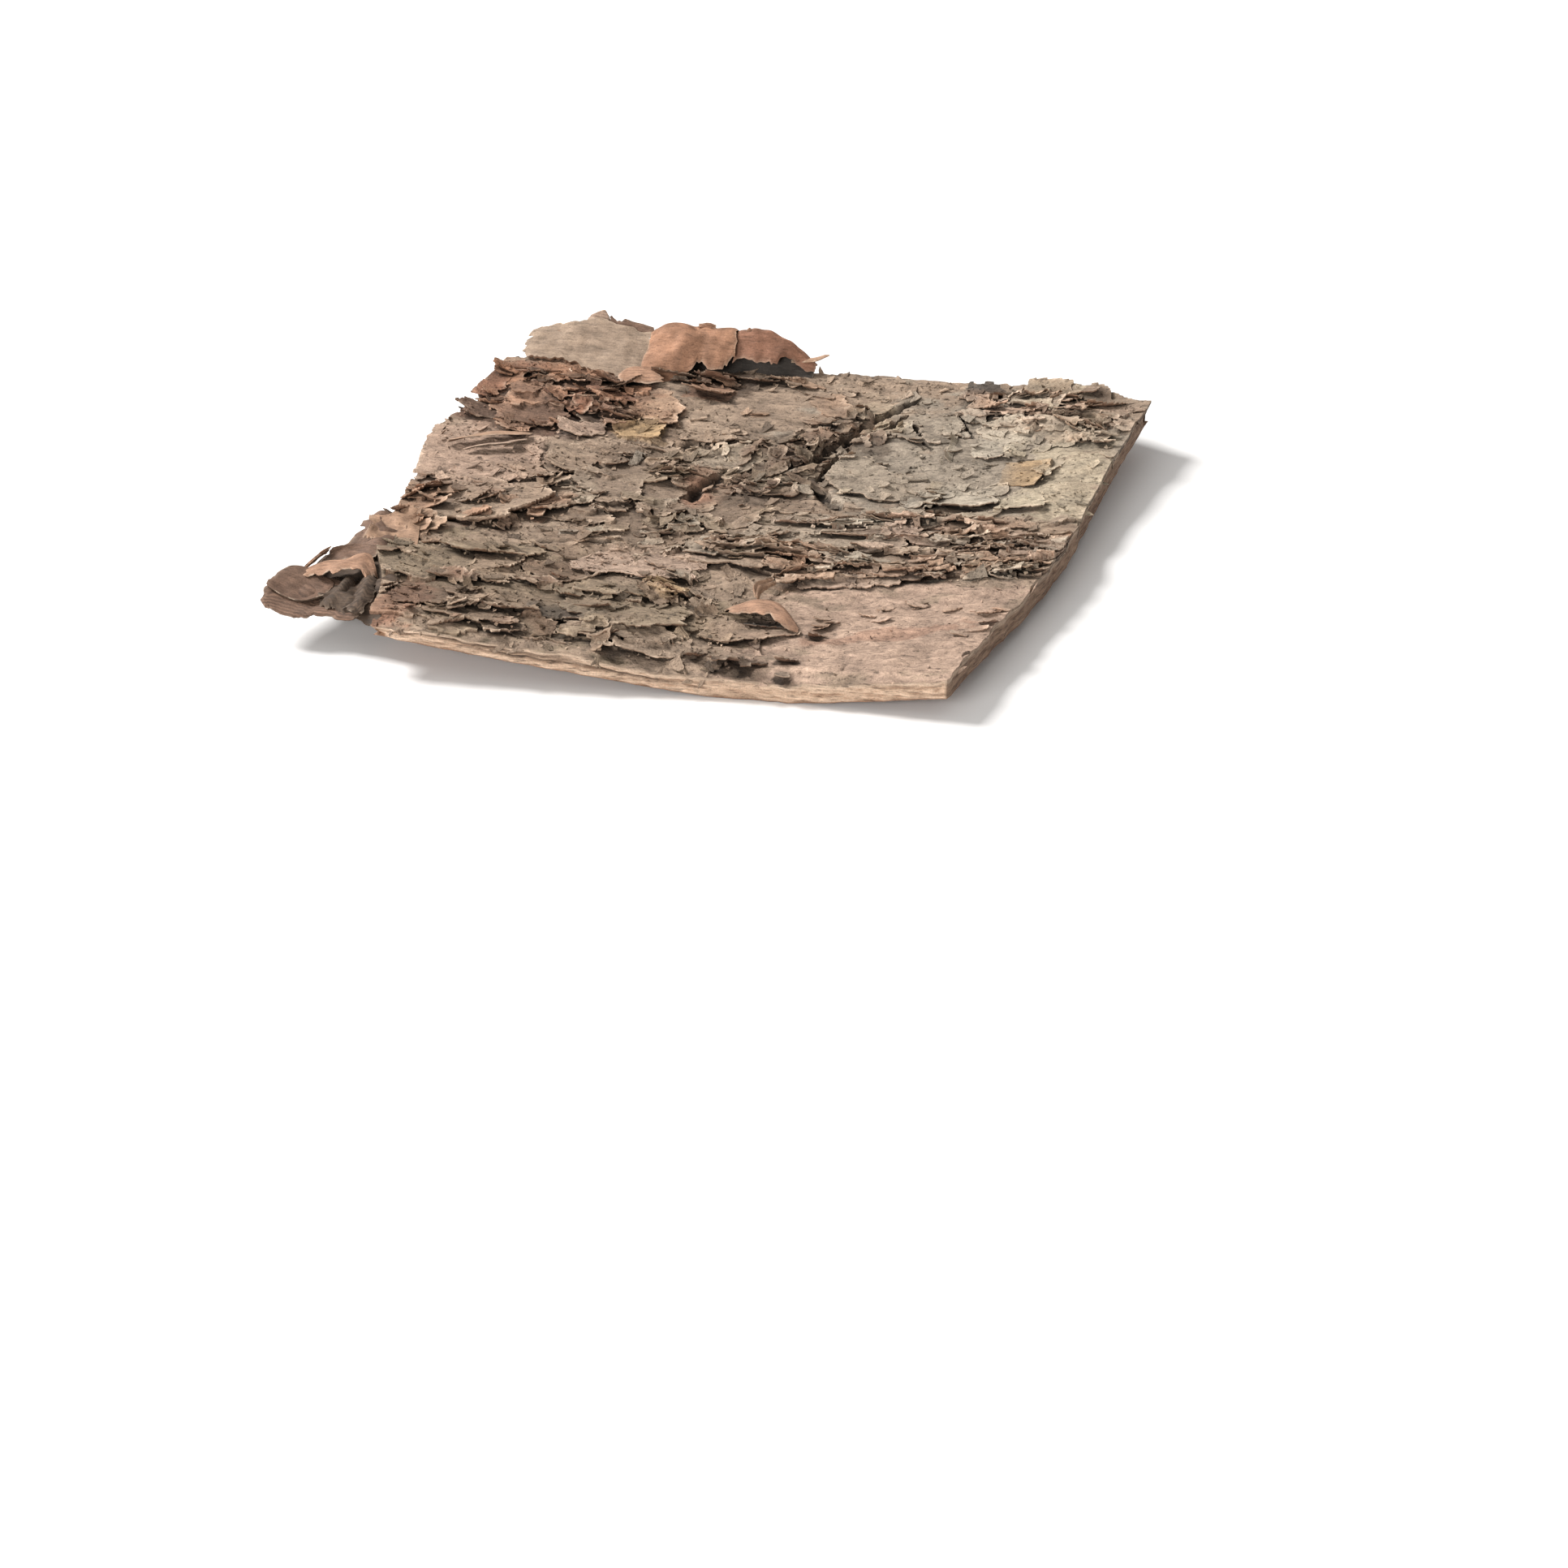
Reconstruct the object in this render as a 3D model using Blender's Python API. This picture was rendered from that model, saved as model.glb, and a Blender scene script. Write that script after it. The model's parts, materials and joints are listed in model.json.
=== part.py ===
"""A hand-sized piece of dried bark, its flaky outer side up, built as the one solid that it grew as.

The slab is a grid mapped onto the piece's outline, curled up towards its edges, with the steps of
its outer layers on top. The papery layers that stand clear of it at the left front corner and along
the back edge are thin sheets, joined to the slab by Boolean unions.
Design coordinates are millimetres from the slab's left front corner: X runs along the cut front
edge, Y away from it, and Z up. The finished piece is moved so that its origin is the centre of
its box's base.
"""

import math

import bmesh
import bpy
from mathutils import Vector, noise

MM = 0.001
NAME = "bark_piece"

# The slab: one list of plan points per side, corners included, and its solid inner thickness.
FRONT = [(0.0, 0.0), (31.0, -0.6), (62.0, 0.3), (93.0, 0.0)]
RIGHT = [(93.0, 0.0), (97.0, 17.0), (101.5, 34.0), (105.0, 51.0), (107.0, 68.0), (109.5, 85.0), (113.0, 103.0)]
BACK = [(-3.0, 112.0), (20.0, 115.0), (43.0, 117.0), (66.0, 117.0), (90.0, 113.5), (113.0, 103.0)]
LEFT = [(0.0, 0.0), (-1.5, 16.0), (-6.5, 32.0), (-7.0, 48.0), (-8.0, 64.0), (-9.0, 80.0), (-5.0, 96.0), (-3.0, 112.0)]
CORE_THICKNESS = 4.0

# Inner layers have split off at the left front corner, which thins the slab from below.
CORNER_REACH = 36.0
CORNER_THINNING = 1.9

# How far the underside stands above the surface that it rests on, front row first, left to right.
LIFT = [
    [4.8, 3.0, 0.0, 3.4],
    [2.2, 0.6, 0.0, 2.2],
    [2.4, 0.2, 0.0, 2.4],
    [3.2, 1.0, 0.9, 6.0],
]
REST_LEVEL = 0.25

# The thick remains of outer bark: centre, half sizes, turn in degrees and height of each.
CRUSTS = [
    ((84, 86), (25, 26), 20, 1.3),
    ((10, 54), (10, 12), -20, 1.1),
    ((25, 20), (27, 17), 5, 1.2),
    ((64, 50), (24, 9), 8, 0.9),
    ((29, 68), (15, 13), 0, 0.9),
    ((6, 94), (13, 13), 0, 1.5),
    ((84, 40), (20, 4), 5, 1.2),
    ((60, 21), (8, 6), -15, 1.3),
    ((95, 107), (14, 5), -25, 1.8),
    ((46, 79), (11, 11), 35, 1.0),
]
CRUST_STEP = 0.16
RAGGED_EDGE = 0.22
RAGGED_SPACING = 7.0
ROUGHNESS = 0.35
ROUGHNESS_SPACING = 4.5

TOP_CELLS = 42
BASE_CELLS = 14
SHEET_THICKNESS = 0.7
SHEET_CELLS = (8, 14)
ROOT_DEPTH = 0.35

# Papery layers that stand clear. A sheet starts on its root line; its section is a list of
# (run, rise) points, run going to the root line's right hand; reach and height scale the section
# at the line's start, middle and end.
SHEETS = {
    "corner_tongue": {
        "root": ((-21.5, 13.5, -0.7), (3.0, 19.0, -0.8)),
        "section": [(0, 0), (4, -0.3), (8, -1.0), (11.5, -0.9), (13.8, 1.0), (13.0, 3.4), (10.6, 3.6), (9.6, 2.2)],
        "reach": (0.62, 1.0, 0.95),
        "height": (1.0, 1.0, 0.5),
    },
    "corner_bridge": {
        "root": ((-14.5, 27.0, 0.6), (2.0, 28.5, -0.6)),
        "section": [(-3, -0.5), (0, 0.2), (4, 0.9), (8, 1.6), (12, 2.2)],
        "reach": (0.9, 1.0, 0.9),
        "height": (1.0, 1.0, 0.5),
    },
    "back_sheet": {
        "root": ((18.0, 103.0, 0.0), (-5.5, 102.0, 0.0)),
        "section": [(0, 0), (3.5, 0.8), (7, 2.2), (10.5, 4.4), (13, 6.8)],
        "reach": (1.0, 1.0, 0.8),
        "height": (0.8, 1.0, 0.4),
    },
    "back_arch": {
        "root": ((18.0, 112.0, 0.0), (52.0, 114.5, 0.0)),
        "section": [(0, 0), (-2.5, 1.6), (-4.2, 3.8), (-4, 5.6), (-1.8, 6.6), (1, 5.6), (3, 3.4)],
        "reach": (0.8, 1.0, 0.4),
        "height": (0.9, 1.0, 0.5),
    },
}


def between(points, share):
    """The point at a share of the way along evenly numbered points, on a smooth curve through them."""
    place = share * (len(points) - 1)
    index = min(int(place), len(points) - 2)
    t = place - index
    a, b = Vector(points[index]), Vector(points[index + 1])
    before = Vector(points[index - 1]) if index > 0 else 2 * a - b
    after = Vector(points[index + 2]) if index + 2 < len(points) else 2 * b - a
    bend = (2 * before - 5 * a + 4 * b - after) * t * t + (3 * a - before - 3 * b + after) * t**3
    return a + ((b - before) * t + bend) / 2


def plan(u, v):
    """The plan point of the slab at shares u along the front and v from front to back."""
    corners = (Vector(FRONT[0]), Vector(FRONT[-1]), Vector(BACK[0]), Vector(BACK[-1]))
    sides = between(FRONT, u) * (1 - v) + between(BACK, u) * v + between(LEFT, v) * (1 - u) + between(RIGHT, v) * u
    blend = (corners[0] * (1 - u) + corners[1] * u) * (1 - v) + (corners[2] * (1 - u) + corners[3] * u) * v
    return sides - blend


def underside(u, v):
    """Height of the underside: level where the piece rests, rising to its curled edges."""
    column = [between([(height, 0.0) for height in row], u) for row in LIFT]
    return max(0.0, between(column, v)[0] - REST_LEVEL)


def corner_thinning(x, y):
    """How much thinner than elsewhere the slab is near its left front corner."""
    inside = max(0.0, 1 - math.hypot(x, y) / CORNER_REACH)
    return CORNER_THINNING * inside**1.5


def crust_height(x, y):
    """Height of the outer layers above the inner bark, with ragged steps at their edges."""
    ragged = RAGGED_EDGE * noise.noise(Vector((x, y, 0.0)) / RAGGED_SPACING)
    total = 0.0
    for (cx, cy), (half_x, half_y), turn, height in CRUSTS:
        angle = math.radians(turn)
        along = ((x - cx) * math.cos(angle) + (y - cy) * math.sin(angle)) / half_x
        across = ((y - cy) * math.cos(angle) - (x - cx) * math.sin(angle)) / half_y
        inside = 1 - math.hypot(along, across) + ragged
        total = max(total, height * min(1.0, max(0.0, inside / CRUST_STEP)))
    rough = ROUGHNESS * noise.noise(Vector((x, y, 9.0)) / ROUGHNESS_SPACING)
    return total + rough * min(1.0, 0.3 + total)


def slab_point(u, v, on_top):
    """A point of the slab's top or underside."""
    x, y = plan(u, v)
    z = underside(u, v)
    if on_top:
        z += CORE_THICKNESS + crust_height(x, y)
    else:
        z += corner_thinning(x, y)
    return Vector((x, y, z))


def make_slab():
    """The slab: a fine top, a plain underside and one band of wall between their edges."""
    mesh = bmesh.new()
    grids = {}
    for on_top, cells in ((True, TOP_CELLS), (False, BASE_CELLS)):
        grid = [
            [mesh.verts.new(slab_point(i / cells, j / cells, on_top)) for i in range(cells + 1)]
            for j in range(cells + 1)
        ]
        for j in range(cells):
            for i in range(cells):
                ring = [grid[j][i], grid[j][i + 1], grid[j + 1][i + 1], grid[j + 1][i]]
                mesh.faces.new(ring if on_top else ring[::-1])
        grids[on_top] = grid
    close_walls(mesh, rim(grids[True]), rim(grids[False]))
    bmesh.ops.triangulate(mesh, faces=mesh.faces[:])
    bmesh.ops.recalc_face_normals(mesh, faces=mesh.faces[:])
    return object_from(mesh, NAME)


def rim(grid):
    """The vertices round a square grid, anticlockwise from its first corner."""
    last = len(grid) - 1
    front = [grid[0][i] for i in range(last)]
    right = [grid[j][last] for j in range(last)]
    back = [grid[last][i] for i in range(last, 0, -1)]
    left = [grid[j][0] for j in range(last, 0, -1)]
    return front + right + back + left


def close_walls(mesh, upper, lower):
    """Joins a fine rim to a coarse one, a whole number of fine steps to each coarse step."""
    steps = len(upper) // len(lower)
    for k, vertex in enumerate(lower):
        above = [upper[(k * steps + n) % len(upper)] for n in range(steps + 1)]
        mesh.faces.new([vertex, lower[(k + 1) % len(lower)]] + above[::-1])


def make_sheet(name, spec):
    """A thin curled sheet from its root line and section, closed, for joining to the slab."""
    start, end = Vector(spec["root"][0]), Vector(spec["root"][1])
    outward = Vector((end.y - start.y, start.x - end.x, 0.0)).normalized()
    rows, columns = SHEET_CELLS
    mesh = bmesh.new()
    grid = []
    for i in range(rows + 1):
        s = i / rows
        root = start.lerp(end, s)
        reach = between([(value, 0.0) for value in spec["reach"]], s)[0]
        height = between([(value, 0.0) for value in spec["height"]], s)[0]
        level = top_level(root.x, root.y) + root.z - ROOT_DEPTH
        row = []
        for j in range(columns + 1):
            run, rise = between(spec["section"], j / columns)
            place = Vector((root.x, root.y, level)) + outward * (run * reach) + Vector((0, 0, rise * height))
            row.append(mesh.verts.new(place))
        grid.append(row)
    for i in range(rows):
        for j in range(columns):
            mesh.faces.new([grid[i][j], grid[i + 1][j], grid[i + 1][j + 1], grid[i][j + 1]])
    bmesh.ops.recalc_face_normals(mesh, faces=mesh.faces[:])
    bmesh.ops.solidify(mesh, geom=mesh.faces[:], thickness=SHEET_THICKNESS)
    bmesh.ops.recalc_face_normals(mesh, faces=mesh.faces[:])
    sheet = object_from(mesh, name)
    sheet.hide_render = True
    sheet.display_type = "WIRE"
    return sheet


def top_level(x, y):
    """Height of the slab's inner bark nearest to a plan point."""
    cells = range(BASE_CELLS + 1)
    nearest = min(
        ((i / BASE_CELLS, j / BASE_CELLS) for i in cells for j in cells),
        key=lambda share: (plan(*share) - Vector((x, y))).length,
    )
    return underside(*nearest) + CORE_THICKNESS


def object_from(mesh, name):
    """A named object holding a finished bmesh."""
    data = bpy.data.meshes.new(name)
    mesh.to_mesh(data)
    mesh.free()
    made = bpy.data.objects.new(name, data)
    bpy.context.scene.collection.objects.link(made)
    return made


def join(slab, sheet):
    """Adds a sheet to the slab as one body."""
    union = slab.modifiers.new(sheet.name, "BOOLEAN")
    union.operation = "UNION"
    union.solver = "EXACT"
    union.object = sheet


def centre_on_base(pieces):
    """Moves every mesh so that the whole piece's box stands centred on the origin, and sets metres."""
    points = [vertex.co for piece in pieces for vertex in piece.data.vertices]
    low = Vector([min(point[k] for point in points) for k in range(3)])
    high = Vector([max(point[k] for point in points) for k in range(3)])
    base = Vector(((low.x + high.x) / 2, (low.y + high.y) / 2, low.z))
    for piece in pieces:
        for vertex in piece.data.vertices:
            vertex.co = (vertex.co - base) * MM


def bark_material():
    """Dry outer bark: a matt grey brown."""
    material = bpy.data.materials.new("weathered_bark")
    material.use_nodes = True
    shader = material.node_tree.nodes["Principled BSDF"]
    shader.inputs["Base Color"].default_value = (0.19, 0.135, 0.1, 1.0)
    shader.inputs["Roughness"].default_value = 0.88
    shader.inputs["Metallic"].default_value = 0.0
    return material


def main():
    for old in list(bpy.data.objects):
        bpy.data.objects.remove(old)
    slab = make_slab()
    sheets = [make_sheet(name, spec) for name, spec in SHEETS.items()]
    centre_on_base([slab] + sheets)
    for sheet in sheets:
        join(slab, sheet)
    slab.data.materials.append(bark_material())


main()
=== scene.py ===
"""Looks of a hand-sized piece of dried bark that lies flaky outer side up.

The slab, the layer fragments stacked on it, the papery sheets that stand clear of it, and the crumbs and
splinters strewn over it are each a class here. Design coordinates are millimetres from the slab's left
front corner: X runs along the cut front edge, Y away from it, and Z up.
"""

import json
import logging
import math
from dataclasses import dataclass, field
from enum import Enum

import bpy
import numpy as np
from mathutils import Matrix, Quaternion, Vector

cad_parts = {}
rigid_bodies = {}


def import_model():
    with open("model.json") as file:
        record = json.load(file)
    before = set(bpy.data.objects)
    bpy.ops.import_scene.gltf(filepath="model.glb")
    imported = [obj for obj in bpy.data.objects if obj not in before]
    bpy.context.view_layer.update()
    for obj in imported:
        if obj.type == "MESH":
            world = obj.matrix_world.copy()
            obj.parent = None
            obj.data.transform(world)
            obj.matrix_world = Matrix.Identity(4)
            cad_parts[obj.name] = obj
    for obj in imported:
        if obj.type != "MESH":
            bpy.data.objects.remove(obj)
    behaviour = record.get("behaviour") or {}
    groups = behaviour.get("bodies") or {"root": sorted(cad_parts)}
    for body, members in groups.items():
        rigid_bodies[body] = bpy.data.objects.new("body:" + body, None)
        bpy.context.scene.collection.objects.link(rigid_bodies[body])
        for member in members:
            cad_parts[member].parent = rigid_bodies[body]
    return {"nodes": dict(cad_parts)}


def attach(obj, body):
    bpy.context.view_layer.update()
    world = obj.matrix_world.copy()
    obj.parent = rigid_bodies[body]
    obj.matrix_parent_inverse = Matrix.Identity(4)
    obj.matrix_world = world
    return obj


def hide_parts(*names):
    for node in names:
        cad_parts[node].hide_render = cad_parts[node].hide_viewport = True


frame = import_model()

MM = 0.001
NODE = "bark_piece"
BODY = "root"
COLOUR = "bark_colour"
TONE = "chip_tone"
log = logging.getLogger("bark")

Pair = tuple[float, float]
Triple = tuple[float, float, float]


class Tone(Enum):
    """Colours of dry bark, as sRGB hex values."""

    PINK_TAN = "#a38a78"
    TAN = "#9c7d66"
    WARM_TAN = "#9b7861"
    GREY_TAN = "#8f7b69"
    ASH = "#a09382"
    LICHEN = "#8d8071"
    PALE_LICHEN = "#aa9d8b"
    YELLOW_LICHEN = "#b1a188"
    MOSS_GREY = "#857460"
    GREY_BROWN = "#7e6a59"
    BROWN = "#6b5344"
    UMBER = "#4c3d31"
    CHARCOAL = "#3d3732"
    RUST = "#86604c"
    ORANGE = "#926c54"
    GOLD = "#a08462"
    TORN = "#d2bca6"
    CUT = "#cfb299"
    CUT_DARK = "#8a6b54"
    INNER = "#7d5a45"


def linear(colour: str) -> np.ndarray:
    """Turns an sRGB hex value into linear red, green and blue.

    Args:
        colour: The value, such as "#a0968a".

    Returns:
        Three linear numbers from 0 to 1.
    """
    share = np.array([int(colour[k : k + 2], 16) for k in (1, 3, 5)]) / 255
    return np.where(share <= 0.04045, share / 12.92, ((share + 0.055) / 1.055) ** 2.4)


def ease(share: np.ndarray) -> np.ndarray:
    """Eases shares from 0 to 1, with level ends."""
    held = np.clip(share, 0.0, 1.0)
    return held * held * (3 - 2 * held)


def mix(first: np.ndarray, second: np.ndarray, share: np.ndarray) -> np.ndarray:
    """Blends two colours or arrays of colours by a share for each point."""
    part = np.asarray(share)[..., None]
    return first * (1 - part) + second * part


def spline_weights(count: int, share: np.ndarray) -> np.ndarray:
    """Weights of evenly numbered points on the smooth curve through them.

    Args:
        count: How many points there are.
        share: Shares of the way along the curve.

    Returns:
        One weight for each point and share, the points first.
    """
    place = share * (count - 1)
    index = np.clip(place.astype(int), 0, count - 2)
    t = place - index
    parts = (
        (-t + 2 * t**2 - t**3) / 2,
        1 + (-5 * t**2 + 3 * t**3) / 2,
        (t + 4 * t**2 - 3 * t**3) / 2,
        (-(t**2) + t**3) / 2,
    )
    weights = np.zeros((count + 2,) + t.shape)
    for offset, part in enumerate(parts):
        for k in range(count + 2):
            weights[k] += np.where(index + offset == k, part, 0)
    weights[1] += 2 * weights[0]
    weights[2] -= weights[0]
    weights[count] += 2 * weights[count + 1]
    weights[count - 1] -= weights[count + 1]
    return weights[1:-1]


def along(points: tuple, share: np.ndarray) -> np.ndarray:
    """Points on the smooth curve through a list of points or numbers.

    Args:
        points: The list, first to last.
        share: Shares of the way along it.

    Returns:
        An array with the shape of the shares, and the points' own axis last if they have one.
    """
    return np.tensordot(spline_weights(len(points), share), np.array(points, float), (0, 0))


def grid_quads(number: np.ndarray) -> np.ndarray:
    """Upward quads of a numbered grid of points."""
    corners = (number[:-1, :-1], number[:-1, 1:], number[1:, 1:], number[1:, :-1])
    return np.stack([corner.ravel() for corner in corners], 1)


def grid_rim(number: np.ndarray) -> np.ndarray:
    """Numbers round a grid's rim, anticlockwise from its first corner."""
    return np.concatenate([number[0, :-1], number[:-1, -1], number[-1, :0:-1], number[:0:-1, 0]])


class Grain:
    """Seamless squares of gradient noise, the same on every run."""

    SIZE = 512
    SPACING = 0.4  # millimetres between samples

    def __init__(self, seed: int) -> None:
        """Starts the numbers off from a seed."""
        self.random = np.random.default_rng(seed)

    def square(self, wave: Pair, octaves: int = 4, gain: float = 0.5) -> np.ndarray:
        """Makes one square.

        Args:
            wave: Length of its longest waves along X and along Y, in millimetres.
            octaves: How many times the waves halve.
            gain: How much weaker each octave is.

        Returns:
            The square, evenly spread round 0 with a deviation of 1.
        """
        side = self.SIZE * self.SPACING
        cells = [max(2, round(side / length)) for length in wave]
        total = np.zeros((self.SIZE, self.SIZE))
        for octave in range(octaves):
            total += gain**octave * self._layer(cells[0] << octave, cells[1] << octave)
        return total / total.std()

    def _layer(self, across: int, up: int) -> np.ndarray:
        """One octave: gradient noise on a wrapped lattice.

        Args:
            across: The lattice's cells along X.
            up: Its cells along Y.

        Returns:
            The square of noise.
        """
        angle = self.random.random((up, across)) * 2 * math.pi
        x = np.arange(self.SIZE) * across / self.SIZE
        y = np.arange(self.SIZE) * up / self.SIZE
        left, low = x.astype(int), y.astype(int)
        x, y = (x - left)[None, :], (y - low)[:, None]
        total = 0
        for right in (0, 1):
            for high in (0, 1):
                corner = angle[np.ix_((low + high) % up, (left + right) % across)]
                slope = np.cos(corner) * (x - right) + np.sin(corner) * (y - high)
                total = total + slope * ease(1 - abs(x - right)) * ease(1 - abs(y - high))
        return total

    @classmethod
    def at(cls, square: np.ndarray, x: np.ndarray, y: np.ndarray) -> np.ndarray:
        """Reads a square at plan places, between its samples.

        Args:
            square: The square of noise.
            x: Places along X, in millimetres.
            y: Places along Y, in millimetres.

        Returns:
            One number for each place.
        """
        column, row = x / cls.SPACING, y / cls.SPACING
        left, low = np.floor(column).astype(int), np.floor(row).astype(int)
        right, up = column - left, row - low
        size = square.shape[0]
        near = square[low % size, left % size] * (1 - right) + square[low % size, (left + 1) % size] * right
        far = square[(low + 1) % size, left % size] * (1 - right)
        far = far + square[(low + 1) % size, (left + 1) % size] * right
        return near * (1 - up) + far * up


@dataclass(frozen=True)
class SlabShape:
    """Plan, lift and thickness of the slab, as the frame has them."""

    front: tuple[Pair, ...] = ((0, 0), (31, -0.6), (62, 0.3), (93, 0))
    right: tuple[Pair, ...] = ((93, 0), (97, 17), (101.5, 34), (105, 51), (107, 68), (109.5, 85), (113, 103))
    back: tuple[Pair, ...] = ((-3, 112), (20, 115), (43, 117), (66, 117), (90, 113.5), (113, 103))
    left: tuple[Pair, ...] = (
        (0, 0), (-1.5, 16), (-6.5, 32), (-7, 48), (-8, 64), (-9, 80), (-5, 96), (-3, 112)
    )
    lift: tuple[tuple[float, ...], ...] = (
        (4.8, 3.0, 0.0, 3.4),
        (2.2, 0.6, 0.0, 2.2),
        (2.4, 0.2, 0.0, 2.4),
        (3.2, 1.0, 0.9, 6.0),
    )
    rest_level: float = 0.25
    core: float = 4.0
    corner_reach: float = 36.0
    corner_thinning: float = 1.9
    width: float = 105.0
    depth: float = 113.0

    def plan(self, u: np.ndarray, v: np.ndarray) -> tuple[np.ndarray, np.ndarray]:
        """The plan place at shares u from left to right and v from front to back.

        Args:
            u: Shares from left to right.
            v: Shares from front to back.

        Returns:
            X and Y, in design millimetres.
        """
        front, back = along(self.front, u), along(self.back, u)
        left, right = along(self.left, v), along(self.right, v)
        corners = [np.array(side[end], float) for side in (self.front, self.back) for end in (0, -1)]
        near, far = mix(corners[0], corners[1], u), mix(corners[2], corners[3], u)
        place = mix(front, back, v) + mix(left, right, u) - mix(near, far, v)
        return place[..., 0], place[..., 1]

    def shares(self, x: np.ndarray, y: np.ndarray) -> tuple[np.ndarray, np.ndarray]:
        """The shares that a plan place has, past 0 or 1 outside the slab.

        Args:
            x: Places along X.
            y: Places along Y.

        Returns:
            u and v, as plan takes them.
        """
        u, v = (x + 6) / self.width, y / self.depth
        for _ in range(8):
            near_x, near_y = self.plan(u, v)
            u, v = u + (x - near_x) / self.width, v + (y - near_y) / self.depth
        return u, v

    def underside(self, u: np.ndarray, v: np.ndarray) -> np.ndarray:
        """Height of the underside.

        Args:
            u: Shares from left to right.
            v: Shares from front to back.

        Returns:
            One height for each place, 0 or more.
        """
        rows = [along(row, np.clip(u, 0, 1)) for row in self.lift]
        weights = spline_weights(len(rows), np.clip(v, 0, 1))
        return np.maximum(0.0, sum(weight * row for weight, row in zip(weights, rows)) - self.rest_level)

    def thinning(self, x: np.ndarray, y: np.ndarray) -> np.ndarray:
        """How much thinner the slab is near its left front corner, where inner layers have split off."""
        return self.corner_thinning * np.maximum(0.0, 1 - np.hypot(x, y) / self.corner_reach) ** 1.5


@dataclass
class MeshBatch:
    """Points, faces and colours that become one mesh."""

    name: str
    points: list[np.ndarray] = field(default_factory=list)
    colours: list[np.ndarray] = field(default_factory=list)
    faces: list[np.ndarray] = field(default_factory=list)
    slots: list[np.ndarray] = field(default_factory=list)
    count: int = 0

    def add(
        self, points: np.ndarray, colours: np.ndarray, faces: list[np.ndarray], slots: list[int] | None = None
    ) -> None:
        """Adds one shell.

        Args:
            points: Its points, in design millimetres.
            colours: A linear colour for each point.
            faces: Arrays of faces, each with its own number of corners, numbered from 0.
            slots: The material slot of each array of faces, the first slot if left out.
        """
        self.points.append(points)
        self.colours.append(colours)
        for group, slot in zip(faces, slots or [0] * len(faces)):
            self.faces.append(group + self.count)
            self.slots.append(np.full(len(group), slot))
        self.count += len(points)

    def make(
        self,
        origin: np.ndarray,
        materials: list[bpy.types.Material],
        sharp: float,
        ground: "Ground | None" = None,
    ) -> bpy.types.Object:
        """Makes the mesh and its object.

        Args:
            origin: The frame place of the design's zero point, in millimetres.
            materials: The mesh's material slots.
            sharp: Angle in degrees past which an edge is sharp.
            ground: The finished ground, whose hollows take painted shade and whose crests take painted
                highlight, if the mesh lies on it.

        Returns:
            The object, linked to the scene.
        """
        data = bpy.data.meshes.new(self.name)
        points = (np.concatenate(self.points) + origin) * MM
        sizes = np.concatenate([np.full(len(group), group.shape[1]) for group in self.faces])
        data.vertices.add(len(points))
        data.vertices.foreach_set("co", points.astype(np.float32).ravel())
        data.loops.add(int(sizes.sum()))
        data.loops.foreach_set("vertex_index", np.concatenate([group.ravel() for group in self.faces]))
        data.polygons.add(len(sizes))
        data.polygons.foreach_set("loop_start", np.cumsum(sizes) - sizes)
        data.polygons.foreach_set("material_index", np.concatenate(self.slots))
        data.polygons.foreach_set("use_smooth", np.ones(len(sizes), bool))
        data.update(calc_edges=True)
        data.validate()
        layer = data.attributes.new(COLOUR, "FLOAT_COLOR", "POINT")
        colours = np.concatenate(self.colours)
        # Painted shade in the ground's hollows and painted highlight on its crests.
        if ground:
            colours = colours * ground.cavity_shading(np.concatenate(self.points))[:, None]
        layer.data.foreach_set("color", np.c_[colours, np.ones(len(colours))].astype(np.float32).ravel())
        for material in materials:
            data.materials.append(material)
        data.set_sharp_from_angle(angle=math.radians(sharp))
        made = bpy.data.objects.new(self.name, data)
        bpy.context.scene.collection.objects.link(made)
        return made


@dataclass(frozen=True)
class Patch:
    """A soft-edged oval of one colour in the slab's own surface."""

    centre: Pair
    half: Pair
    turn: float
    tone: Tone
    strength: float = 1.0


@dataclass(frozen=True)
class Crack:
    """A crack through the outer layers, down to the inner bark."""

    points: tuple[Pair, ...]
    half_width: float
    depth: float = 1.3


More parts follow.
